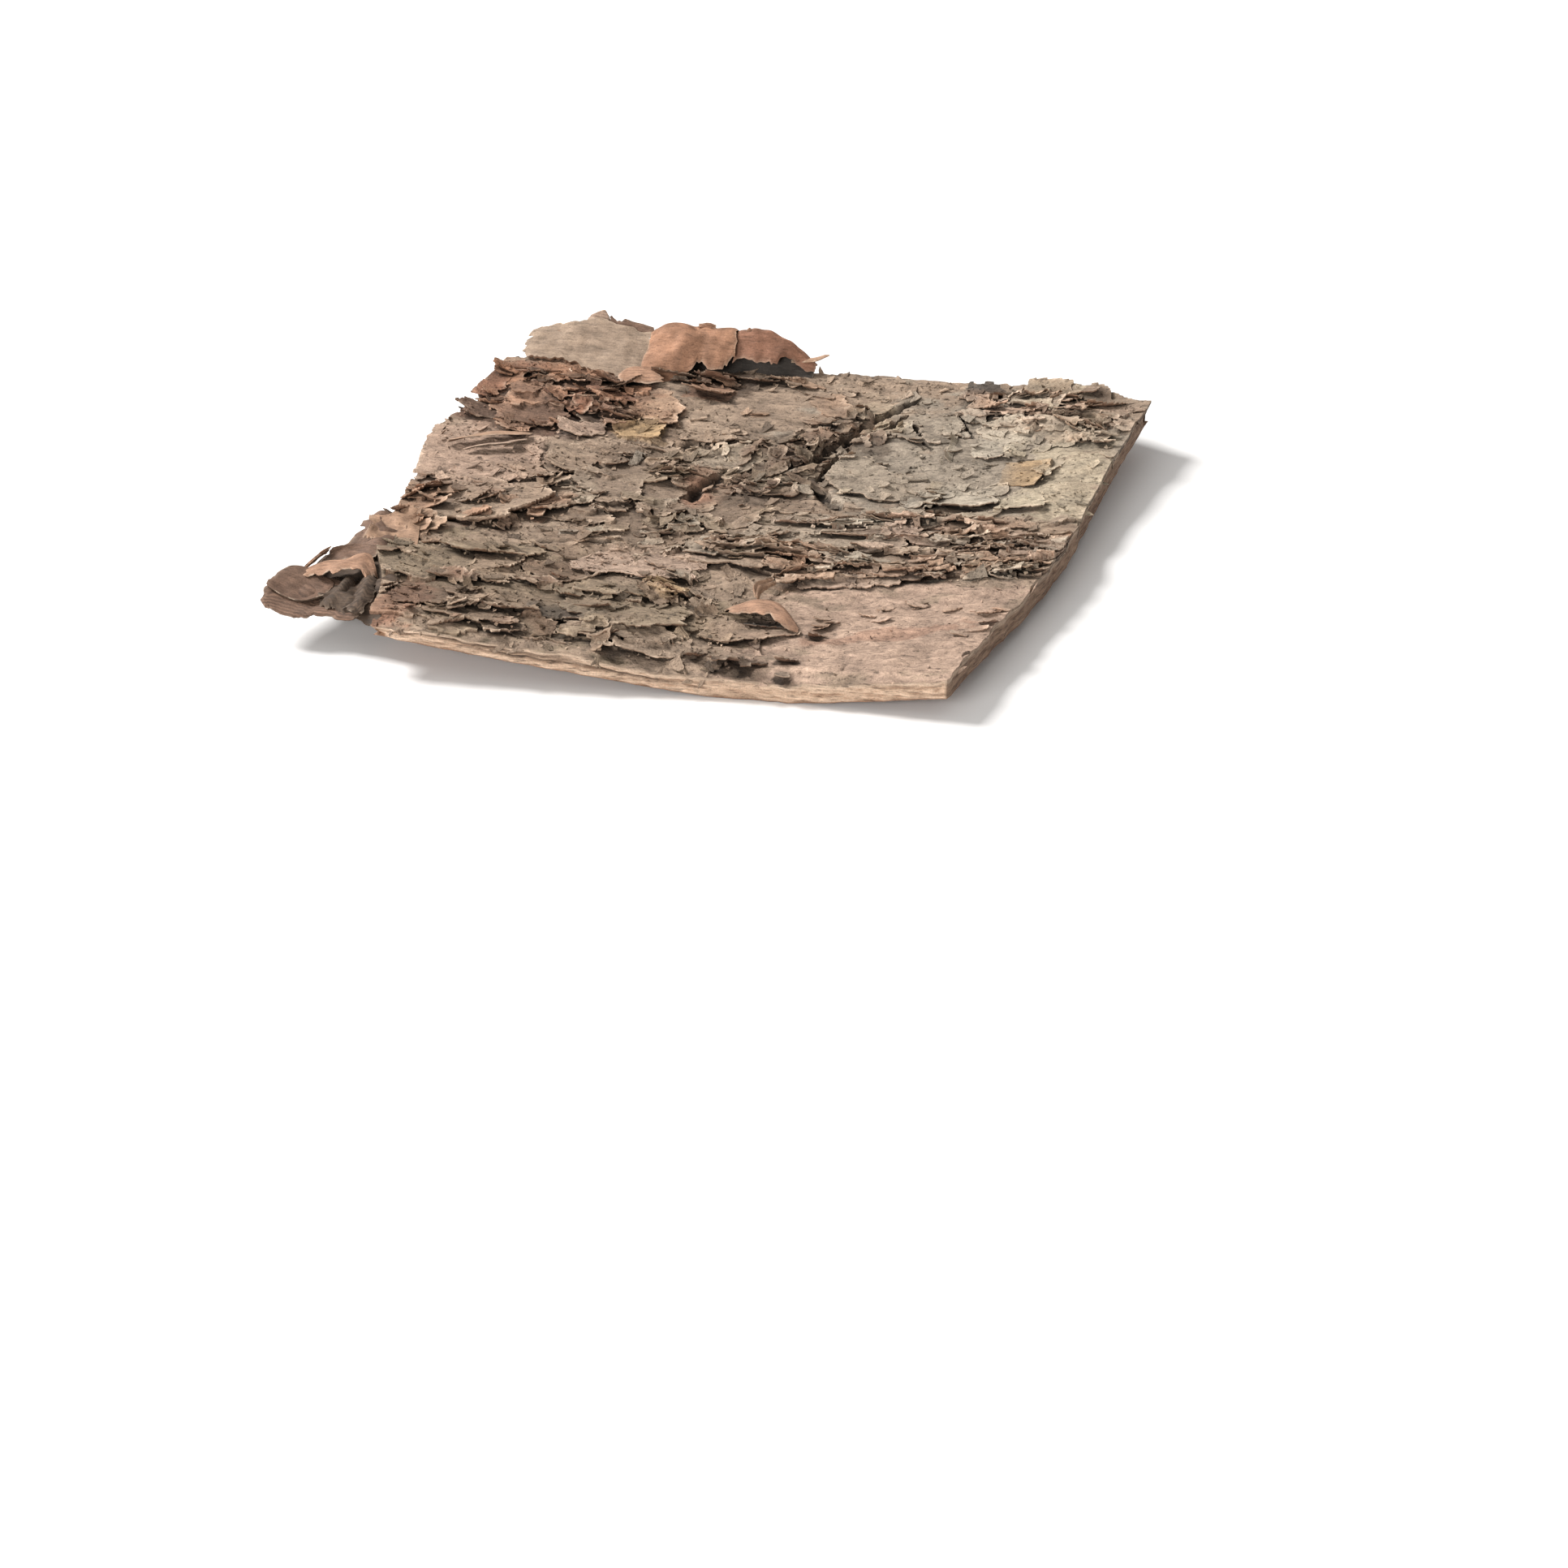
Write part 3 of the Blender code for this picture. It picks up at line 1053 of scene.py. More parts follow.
    def _split(self, share: float, run: np.ndarray) -> np.ndarray:
        """How far the front wall is split: between its layers at mid height, and nearer its top further left.

        Args:
            share: Share of the way down the wall.
            run: Places along it, in millimetres from its left end.

        Returns:
            One number for each place, 1 or more where the split is open.
        """
        layer = (share - 0.52 - 0.05 * np.sin(run / 9)) / 0.07
        middle = np.exp(-(layer**2)) * ease(2 - abs(run - 33) / 11)
        upper = np.exp(-(((share - 0.3) / 0.06) ** 2)) * ease(1.6 - abs(run - 18) / 12)
        return middle + upper

    def _wall_colour(
        self,
        share: float,
        band: np.ndarray,
        front: np.ndarray,
        torn: np.ndarray,
        split: np.ndarray,
    ) -> np.ndarray:
        """One row of the walls: pale fibres with darker streaks, painted shade in the splits between layers,
        brown where torn or worn.

        Args:
            share: Share of the way down.
            band: Noise of the fibres.
            front: True on the front wall.
            torn: How torn each place is, from 0 to 1.
            split: How far each place is split.

        Returns:
            A linear colour for each place.
        """
        pale, dark = linear(Tone.CUT.value), linear(Tone.CUT_DARK.value)
        streak = np.clip(0.42 - 0.4 * band, 0, 1)
        fresh = mix(pale, dark, streak * 0.8)
        wear_and_shade = mix(linear(Tone.TAN.value) * 0.9, linear(Tone.BROWN.value), streak)
        colour = mix(wear_and_shade * 0.8, fresh * 1.12, np.where(front, 1.0, 0.25 * (1 - torn)))
        pale_rim = 0.6 * np.clip(1.2 - 3.5 * share, 0, 1)
        rim = mix(colour, linear(Tone.TORN.value), np.full(len(band), pale_rim))
        # Painted shade in the splits between the front wall's layers.
        return mix(rim, linear(Tone.UMBER.value) * 0.5, np.clip(split, 0, 0.9))

    def top_colours(self, x: np.ndarray, y: np.ndarray) -> np.ndarray:
        """Colours of the slab's own top at plan places.

        Args:
            x: Places along X.
            y: Places along Y.

        Returns:
            A linear colour for each place.
        """
        colour = np.broadcast_to(linear(Tone.GREY_TAN.value), x.shape + (3,))
        wander = 0.22 * Grain.at(self.mottle, x, y)
        for patch in self.PAINT:
            turn = math.radians(patch.turn)
            dx, dy = x - patch.centre[0], y - patch.centre[1]
            far = (dx * math.cos(turn) + dy * math.sin(turn)) / patch.half[0]
            wide = (dy * math.cos(turn) - dx * math.sin(turn)) / patch.half[1]
            share = patch.strength * ease((1.15 - np.hypot(far, wide) + wander) / 0.35)
            colour = mix(colour, linear(patch.tone.value), share)
        mottle = 1 + 0.09 * Grain.at(self.mottle, x + 50, y) + 0.05 * Grain.at(self.fleck, x, y)
        return colour * np.clip(mottle, 0.6, 1.4)[..., None]

    def _inner_colours(self, points: np.ndarray) -> np.ndarray:
        """Colours of the inner side: red brown with long streaks along the fibres.

        Args:
            points: Its points.

        Returns:
            A linear colour for each point.
        """
        streak = Grain.at(self.stria, points[:, 1], points[:, 0])
        own = mix(linear(Tone.INNER.value), linear(Tone.TAN.value), ease(0.5 + 0.3 * streak) * 0.6)
        return own * (1 + 0.05 * Grain.at(self.mottle, points[:, 0], points[:, 1]))[:, None]


@dataclass(frozen=True)
class PaperySheet:
    """A thin layer that stands clear, as rows of points from its root to its free edge."""

    rows: tuple[tuple[Triple, ...], ...]  # X, Y and height above the slab's top
    tone: Tone
    thickness: float = 0.5
    ragged: float = 0.12  # share of the rows that the free edge wanders by
    ends: float = 0.08  # share of each row that its ends wander by
    crumple: float = 0.25
    stripe: float = 0.0
    under: Tone = Tone.INNER
    cells: tuple[int, int] = (60, 44)
    pale: float = 0.6
    worn_root: float = 0.0  # share of the rows that the root edge wanders by


def rolled(
    root: tuple[Triple, ...], section: tuple[Pair, ...], reach: float = 0.7
) -> tuple[tuple[Triple, ...], ...]:
    """Rows of a small curl: a section of run and rise swept along its root line, smaller at both ends.

    Args:
        root: Points of the root line.
        section: Run to the root line's right hand, and rise.
        reach: Size of the section at the two ends.

    Returns:
        The rows, as PaperySheet takes them.
    """
    length = math.dist(root[0][:2], root[-1][:2])
    way = np.array([root[-1][1] - root[0][1], root[0][0] - root[-1][0]]) / length
    sizes = [reach, *[1.0] * (len(root) - 2), reach]
    return tuple(
        tuple(
            (point[0] + way[0] * run * size, point[1] + way[1] * run * size, point[2] + rise * size)
            for point, size in zip(root, sizes)
        )
        for run, rise in section
    )


class SheetMaker:
    """Makes papery sheets as closed shells with torn edges."""

    def __init__(self, ground: Ground, grain: Grain) -> None:
        """Makes the noise of their edges and their crumpling.

        Args:
            ground: The map of the slab that they grow from.
            grain: Where the noise comes from.
        """
        self.shape = ground.shape
        self.random = grain.random
        self.tear = grain.square((6, 6), 5, 0.65)
        self.crumple = grain.square((8, 8), 3)
        self.tint = grain.square((7, 2.5), 4, 0.6)

    def add(self, sheet: PaperySheet, batch: MeshBatch) -> None:
        """Builds one sheet.

        Args:
            sheet: The sheet.
            batch: The mesh that it goes into.
        """
        across, over = sheet.cells
        shift = self.random.uniform(0, 200, 2)
        t, s = np.meshgrid(np.arange(over + 1) / over, np.arange(across + 1) / across, indexing="ij")
        zero = np.zeros_like(t)
        width = np.linalg.norm(np.subtract(sheet.rows[-1][0], sheet.rows[-1][-1]))
        start, stop = (
            sheet.ends * (0.6 + 0.6 * Grain.at(self.tear, t * 14 + shift[0], zero + k)) for k in (7, 60)
        )
        share = np.clip(start, 0, 0.4) * (1 - s) + (1 - np.clip(stop, 0, 0.4)) * s
        notch, wear_and_shade = (Grain.at(self.tear, s * width + shift[1], zero + k) for k in (21, 90))
        high = 1 - np.clip(sheet.ragged * (0.8 + 0.8 * notch), 0, 0.6)
        low = np.clip(sheet.worn_root * (0.8 + 0.8 * wear_and_shade), 0, 0.4)
        torn = low + (high - low) * t
        rows = np.stack([along(row, share) for row in sheet.rows])
        place = (spline_weights(len(sheet.rows), torn)[..., None] * rows).sum(0)
        u, v = self.shape.shares(place[..., 0], place[..., 1])
        bed = self.shape.underside(u, v) + self.shape.core
        wave = sheet.crumple * Grain.at(self.crumple, place[..., 0] + shift[0], place[..., 1] + shift[1])
        place[..., 2] += bed + wave * ease(3 * t)
        self._shell(sheet, place, s, t, shift, batch)

    def _shell(
        self,
        sheet: PaperySheet,
        place: np.ndarray,
        s: np.ndarray,
        t: np.ndarray,
        shift: np.ndarray,
        batch: MeshBatch,
    ) -> None:
        """Gives the swept surface its thickness and colours, and adds it.

        Args:
            sheet: The sheet.
            place: The points of its middle surface.
            s: Their shares along the rows.
            t: Their shares from the root to the free edge.
            shift: Where its part of the noise starts.
            batch: The mesh that it goes into.
        """
        normal = np.cross(np.gradient(place, axis=0), np.gradient(place, axis=1))
        normal /= np.maximum(np.linalg.norm(normal, axis=-1), 1e-9)[..., None]
        edge = np.minimum(np.minimum(s, 1 - s) * sheet.cells[0], (1 - t) * sheet.cells[1])
        half = sheet.thickness / 2 * (0.35 + 0.65 * ease(edge / 4))[..., None]
        number = np.arange(s.size).reshape(s.shape)
        ring, quads = grid_rim(number), grid_quads(number)
        after = np.roll(ring, -1)
        faces = [quads[:, ::-1], quads + s.size, np.stack([ring, after, after + s.size, ring + s.size], 1)]
        tint = 1 + 0.12 * Grain.at(self.tint, s * 30 + shift[0], t * 18 + shift[1])
        bands = 1 + sheet.stripe * np.sin(t * 60 + 4 * Grain.at(self.crumple, s * 12, t * 5 + shift[0]))
        patchy = ease(0.5 + 0.6 * Grain.at(self.tear, s * 30 + shift[1], t * 20))
        pale = sheet.pale * np.exp(-edge / 1.4) * patchy
        own = linear(sheet.tone.value) * (tint * bands)[..., None]
        below = linear(sheet.under.value) * (tint * bands)[..., None]
        upper, lower = (mix(colour, linear(Tone.TORN.value), pale) for colour in (own, below))
        points = np.concatenate([(place + way * normal * half).reshape(-1, 3) for way in (1, -1)])
        batch.add(points, np.concatenate([upper.reshape(-1, 3), lower.reshape(-1, 3)]), faces)


def add_node(
    tree: bpy.types.NodeTree, kind: str, settings: dict | None = None, links: dict | None = None
) -> bpy.types.Node:
    """Adds a node with its settings and links.

    Args:
        tree: The node tree.
        kind: The node's type.
        settings: Attributes by name, and values of input sockets by name or number.
        links: The output socket that each input socket, by name or number, reads.

    Returns:
        The node.
    """
    made = tree.nodes.new(kind)
    for key, value in (settings or {}).items():
        if isinstance(key, str) and hasattr(made, key):
            setattr(made, key, value)
        else:
            made.inputs[key].default_value = value
    for key, source in (links or {}).items():
        tree.links.new(source, made.inputs[key])
    return made


@dataclass(frozen=True)
class BarkFinish:
    """Dry bark whose colour is carried by the mesh, with a fine grain of its own."""

    name: str
    grain: Triple  # size in millimetres of the grain along X, Y and Z
    pores: Triple  # size in millimetres of the dark pores
    roughness: Pair = (0.78, 0.95)
    shade: Pair = (0.72, 1.24)  # how far the grain darkens and lightens the colour
    darkest: float = 0.45  # share of the colour left in the pores
    bump: float = 0.3  # millimetres
    dust: float = 0.3  # millimetres across the finest grain
    loose: bool = False

    def _noise(self, tree: bpy.types.NodeTree, size: Triple, detail: float) -> bpy.types.NodeSocket:
        """A noise in object space.

        Args:
            tree: The material's tree.
            size: Length of its waves along X, Y and Z, in millimetres.
            detail: Its finer octaves.

        Returns:
            The noise, from 0 to 1.
        """
        place = add_node(tree, "ShaderNodeTexCoord").outputs["Object"]
        waves = tuple(1 / (length * MM) for length in size)
        scaled = add_node(tree, "ShaderNodeMapping", {"Scale": waves}, {"Vector": place})
        settings = {"Scale": 1.0, "Detail": detail, "Roughness": 0.65}
        return add_node(tree, "ShaderNodeTexNoise", settings, {"Vector": scaled.outputs[0]}).outputs["Fac"]

    def _ranged(
        self, tree: bpy.types.NodeTree, value: bpy.types.NodeSocket, given: Pair, wanted: Pair
    ) -> bpy.types.NodeSocket:
        """A value moved from one range to another, held at its ends."""
        settings = {"From Min": given[0], "From Max": given[1], "To Min": wanted[0], "To Max": wanted[1]}
        return add_node(tree, "ShaderNodeMapRange", settings, {"Value": value}).outputs[0]

    def _times(
        self, tree: bpy.types.NodeTree, first: bpy.types.NodeSocket, second: bpy.types.NodeSocket
    ) -> bpy.types.NodeSocket:
        """The product of two values."""
        return add_node(tree, "ShaderNodeMath", {"operation": "MULTIPLY"}, {0: first, 1: second}).outputs[0]

    def material(self) -> bpy.types.Material:
        """Makes the material.

        Returns:
            A rough dielectric with grain, pores, dust and bump.
        """
        made = bpy.data.materials.new(self.name)
        made.use_nodes = True
        tree = made.node_tree
        shader = tree.nodes["Principled BSDF"]
        grain = self._noise(tree, self.grain, 6.0)
        pores = self._noise(tree, self.pores, 3.0)
        dust = self._noise(tree, (self.dust,) * 3, 2.0)
        factor = self._times(
            tree,
            self._ranged(tree, grain, (0.3, 0.7), self.shade),
            self._ranged(tree, pores, (0.33, 0.46), (self.darkest, 1.0)),
        )
        factor = self._times(tree, factor, self._ranged(tree, dust, (0.3, 0.7), (0.84, 1.16)))
        if self.loose:
            tone = add_node(tree, "ShaderNodeAttribute", {"attribute_name": TONE}).outputs["Fac"]
            factor = self._times(tree, factor, self._ranged(tree, tone, (0.0, 1.0), (0.55, 1.5)))
        colour = add_node(tree, "ShaderNodeAttribute", {"attribute_name": COLOUR})
        shaded = add_node(
            tree,
            "ShaderNodeVectorMath",
            {"operation": "SCALE"},
            {0: colour.outputs["Color"], "Scale": factor},
        )
        tree.links.new(shaded.outputs[0], shader.inputs["Base Color"])
        rough = self._ranged(tree, grain, (0.3, 0.7), self.roughness[::-1])
        tree.links.new(rough, shader.inputs["Roughness"])
        coarse = add_node(tree, "ShaderNodeMath", {"operation": "ADD"}, {0: grain, 1: pores}).outputs[0]
        height = add_node(
            tree, "ShaderNodeMath", {"operation": "MULTIPLY_ADD", 1: 0.4}, {0: dust, 2: coarse}
        ).outputs[0]
        bump = add_node(
            tree, "ShaderNodeBump", {"Strength": 1.0, "Distance": self.bump * MM}, {"Height": height}
        )
        tree.links.new(bump.outputs[0], shader.inputs["Normal"])
        shader.inputs["Specular IOR Level"].default_value = 0.3
        return made


# Weathered outer bark: matt, dusty and finely scaled, with short dark pores across the trunk.
WEATHERED_BARK = BarkFinish("weathered_outer_bark", (1.4, 0.8, 0.7), (1.2, 0.6, 0.6))
# Papery cork layers: smoother, with a faint sheen and long fine pores.
PAPERY_CORK = BarkFinish(
    "papery_cork_layers", (3.0, 0.7, 0.7), (2.4, 0.4, 0.4), (0.66, 0.88), (0.84, 1.14), 0.65, 0.12
)
# Cut inner bark: long pale fibres lying along the slab, matt and open.
CUT_BAST = BarkFinish("cut_fibrous_bast", (3.5, 3.5, 0.22), (2.0, 2.0, 0.3), shade=(0.66, 1.26), bump=0.3)
# Inner face of the bast: smooth, with streaks along the trunk.
INNER_FACE = BarkFinish(
    "smooth_inner_bast", (0.5, 7.0, 0.5), (0.8, 6.0, 0.8), (0.6, 0.82), (0.84, 1.14), 0.75, 0.1
)
# Loose chips and dust of cork: matt, each of its own tone.
LOOSE_CORK = BarkFinish("loose_cork_chips", (0.7, 0.7, 0.7), (0.5, 0.5, 0.5), loose=True)


@dataclass(frozen=True)
class PaleBoard:
    """A smooth matt white board, such as melamine faced chipboard, large and out of sight of its edges."""

    colour: str = "#eceae8"
    half_width: float = 3.0

    def build(self) -> bpy.types.Object:
        """Makes the floor that the piece lies on.

        Returns:
            The floor, its top a hair below zero.
        """
        board = bpy.data.materials.new("matt_white_board")
        board.use_nodes = True
        tree = board.node_tree
        shader = tree.nodes["Principled BSDF"]
        place = add_node(tree, "ShaderNodeTexCoord").outputs["Object"]
        grain = add_node(tree, "ShaderNodeTexNoise", {"Scale": 400.0, "Detail": 2.0}, {"Vector": place})
        rough = add_node(
            tree, "ShaderNodeMapRange", {"To Min": 0.55, "To Max": 0.7}, {"Value": grain.outputs["Fac"]}
        )
        tree.links.new(rough.outputs[0], shader.inputs["Roughness"])
        shader.inputs["Base Color"].default_value = (*linear(self.colour), 1.0)
        data = bpy.data.meshes.new("floor")
        side = self.half_width
        corners = [(-side, -side), (side, -side), (side, side), (-side, side)]
        data.from_pydata([(x, y, -0.0001) for x, y in corners], [], [(0, 1, 2, 3)])
        data.materials.append(board)
        floor = bpy.data.objects.new("floor", data)
        bpy.context.scene.collection.objects.link(floor)
        return floor


@dataclass(frozen=True)
class Litter:
    """One kind of loose matter: how much there is, how large, and how it lies."""

    name: str
    density: float  # pieces on each square centimetre where the cover is full
    size: Pair  # scale of the largest and smallest, 1 being a piece 1 mm across
    tilt: float  # degrees
    slender: float = 1.0
    seed: int = 1
    cells: tuple[int, int] = (4, 3)


class Strewing:
    """Strews small closed chips over a surface with Geometry Nodes."""

    VARIANTS = 7

    def __init__(self, grain: Grain) -> None:
        """Keeps the source of the chips' shapes.

        Args:
            grain: Where random numbers come from.
        """
        self.random = grain.random

    def chip(self, litter: Litter, index: int) -> bpy.types.Object:
        """Makes one bent chip about 1 mm across.

        Args:
            litter: The kind of loose matter.
            index: Which of its shapes this is.

        Returns:
            The chip, unlinked.
        """
        across, up = litter.cells
        t, s = np.meshgrid(np.linspace(-1, 1, up + 1), np.linspace(-1, 1, across + 1), indexing="ij")
        half = (0.62 * litter.slender, 0.42 * self.random.uniform(0.7, 1.2))
        taper = 1 - self.random.uniform(0.1, 0.6) * s if litter.slender < 2 else 1 - 0.85 * s**2
        wobble = self.random.normal(0, 0.07, (2,) + s.shape)
        x, y = half[0] * (s + wobble[0]), half[1] * (t * taper + wobble[1])
        bend = self.random.uniform(-0.1, 0.5, 2)
        z = 0.06 + bend[0] * (x / half[0]) ** 2 * 0.3 + bend[1] * (s + 1) ** 2 * 0.12 + 0.1 * t * t * bend[0]
        upper = np.stack([x, y, z + 0.08], -1).reshape(-1, 3)
        lower = np.stack([x * 0.92, y * 0.92, z - 0.05], -1).reshape(-1, 3)
        number = np.arange(s.size).reshape(s.shape)
        ring, quads = grid_rim(number), grid_quads(number)
        after = np.roll(ring, -1)
        faces = [quads, quads[:, ::-1] + s.size, np.stack([after, ring, ring + s.size, after + s.size], 1)]
        data = bpy.data.meshes.new(f"{litter.name}_{index}")
        points = np.concatenate([upper, lower]) * MM
        data.from_pydata(points.tolist(), [], np.concatenate(faces).tolist())
        return bpy.data.objects.new(data.name, data)

    def tree(self) -> bpy.types.NodeTree:
        """Builds the node tree that strews a collection of chips.

        Returns:
            The tree, its inputs named for what they set.
        """
        made = bpy.data.node_groups.new("strew_chips", "GeometryNodeTree")
        face = made.interface
        face.new_socket("Geometry", in_out="INPUT", socket_type="NodeSocketGeometry")
        for name, kind in (
            ("Density", "NodeSocketFloat"),
            ("Smallest", "NodeSocketFloat"),
            ("Largest", "NodeSocketFloat"),
            ("Tilt", "NodeSocketFloat"),
            ("Seed", "NodeSocketInt"),
            ("Chips", "NodeSocketCollection"),
            ("Finish", "NodeSocketMaterial"),
        ):
            face.new_socket(name, in_out="INPUT", socket_type=kind)
        face.new_socket("Geometry", in_out="OUTPUT", socket_type="NodeSocketGeometry")
        given = add_node(made, "NodeGroupInput").outputs
        cover = add_node(made, "GeometryNodeInputNamedAttribute", {"data_type": "FLOAT", "Name": "cover"})
        density = add_node(
            made,
            "ShaderNodeMath",
            {"operation": "MULTIPLY"},
            {0: given["Density"], 1: cover.outputs["Attribute"]},
        )
        points = add_node(
            made,
            "GeometryNodeDistributePointsOnFaces",
            links={"Mesh": given["Geometry"], "Density": density.outputs[0], "Seed": given["Seed"]},
        )
        chips = add_node(
            made,
            "GeometryNodeCollectionInfo",
            {"Separate Children": True, "Reset Children": True},
            {"Collection": given["Chips"]},
        )
        below = add_node(made, "ShaderNodeMath", {"operation": "MULTIPLY", 1: -1.0}, {0: given["Tilt"]})
        low = add_node(made, "ShaderNodeCombineXYZ", links={0: below.outputs[0], 1: below.outputs[0]})
        high = add_node(
            made, "ShaderNodeCombineXYZ", {2: 2 * math.pi}, {0: given["Tilt"], 1: given["Tilt"]}
        )
        turn = add_node(
            made,
            "FunctionNodeRandomValue",
            {"data_type": "FLOAT_VECTOR"},
            {0: low.outputs[0], 1: high.outputs[0], "Seed": given["Seed"]},
        )
        turned = add_node(
            made,
            "FunctionNodeRotateRotation",
            {"rotation_space": "LOCAL"},
            {0: points.outputs["Rotation"], 1: turn.outputs[0]},
        )
        which = add_node(
            made,
            "FunctionNodeRandomValue",
            {"data_type": "INT", 4: 0, 5: self.VARIANTS - 1},
            {"Seed": given["Seed"]},
        )
        size = add_node(
            made,
            "FunctionNodeRandomValue",
            {"data_type": "FLOAT"},
            {2: given["Smallest"], 3: given["Largest"], "Seed": given["Seed"]},
        )
        placed = add_node(
            made,
            "GeometryNodeInstanceOnPoints",
            {"Pick Instance": True},
            {
                "Points": points.outputs["Points"],
                "Instance": chips.outputs[0],
                "Instance Index": which.outputs[2],
                "Rotation": turned.outputs[0],
                "Scale": size.outputs[1],
            },
        )
        tone = add_node(made, "FunctionNodeRandomValue", {"data_type": "FLOAT", "Seed": 77})
        toned = add_node(
            made,
            "GeometryNodeStoreNamedAttribute",
            {"data_type": "FLOAT", "domain": "INSTANCE", "Name": TONE},
            {"Geometry": placed.outputs[0], "Value": tone.outputs[1]},
        )
        real = add_node(made, "GeometryNodeRealizeInstances", links={0: toned.outputs[0]})
        dressed = add_node(
            made, "GeometryNodeSetMaterial", links={"Geometry": real.outputs[0], "Material": given["Finish"]}
        )
        add_node(made, "NodeGroupOutput", links={0: dressed.outputs[0]})
        return made

    def strew(
        self, litter: Litter, host: bpy.types.Object, tree: bpy.types.NodeTree, finish: bpy.types.Material
    ) -> bpy.types.Object:
        """Strews one kind of loose matter and makes it a plain mesh.

        Args:
            litter: The kind of loose matter.
            host: The surface, with a cover attribute from 0 to 1.
            tree: The tree from the method tree.
            finish: The chips' material.

        Returns:
            The chips as one object.
        """
        shapes = bpy.data.collections.new(litter.name)
        for index in range(self.VARIANTS):
            shapes.objects.link(self.chip(litter, index))
        strewn = host.modifiers.new("strewn", "NODES")
        strewn.node_group = tree
        values = {
            "Density": litter.density * 1e4,
            "Smallest": litter.size[0],
            "Largest": litter.size[1],
            "Tilt": math.radians(litter.tilt),
            "Seed": litter.seed,
            "Chips": shapes,
            "Finish": finish,
        }
        for item in tree.interface.items_tree:
            if item.in_out == "INPUT" and item.name in values:
                strewn[item.identifier] = values[item.name]
        evaluated = host.evaluated_get(bpy.context.evaluated_depsgraph_get())
        data = bpy.data.meshes.new_from_object(evaluated)
        host.modifiers.remove(strewn)
        for shape in list(shapes.objects):
            bpy.data.objects.remove(shape)
        bpy.data.collections.remove(shapes)
        data.name = litter.name
        data.polygons.foreach_set("use_smooth", np.ones(len(data.polygons), bool))
        data.set_sharp_from_angle(angle=math.radians(40))
        made = bpy.data.objects.new(litter.name, data)
        bpy.context.scene.collection.objects.link(made)
        return made


CRACKS = (
    Crack(((71, 109), (68, 104), (65, 99), (62.5, 94), (60, 89), (58, 83), (56, 76)), 1.2, 2.0),
    Crack(((70.5, 103), (69, 98), (67, 94)), 0.8, 1.5),
    Crack(((62.5, 88), (61, 83), (60, 78), (59.5, 73)), 0.9, 1.6),
    Crack(((43, 75), (41, 70), (39, 67), (39.5, 61)), 1.5, 1.6),
    Crack(((60, 71), (61.5, 67), (65, 62.5)), 1.3, 1.6),
    Crack(((90, 98.5), (94, 97), (100, 97), (104, 96), (108, 94.5)), 0.9, 1.5),
    Crack(((83, 108), (87, 104.5), (92, 102.5), (97, 100.5), (103, 98.5)), 0.7, 1.3),
    Crack(((80, 101), (82, 96), (83.5, 92)), 0.32, 0.8),
    Crack(((72, 97), (74.5, 91), (77, 87)), 0.28, 0.6),
    Crack(((94, 106.5), (98, 105), (101, 103)), 0.4, 0.9),
    Crack(((93, 84), (95.5, 83.4)), 0.7, 1.0),
    Crack(((75, 61), (78, 62), (81, 63.5)), 0.5, 1.0),
    Crack(((32, 76), (34, 77.5)), 0.9, 1.0),
    Crack(((31, 83), (35, 84), (38, 83.5)), 0.8, 1.0),
    Crack(((29, 29), (33, 29.6), (38, 30.3)), 0.25, 0.6),
    Crack(((10.5, 79), (10.5, 73), (12, 68), (14, 66)), 0.3, 0.8),
    Crack(((20, 72.5), (22, 71.5)), 0.5, 0.9),
    Crack(((74, 11), (75.5, 7.5), (76, 3)), 0.2, 0.3),
    Crack(((4, 42.5), (12, 41), (22, 41.5), (30, 43)), 0.35, 0.8),
)

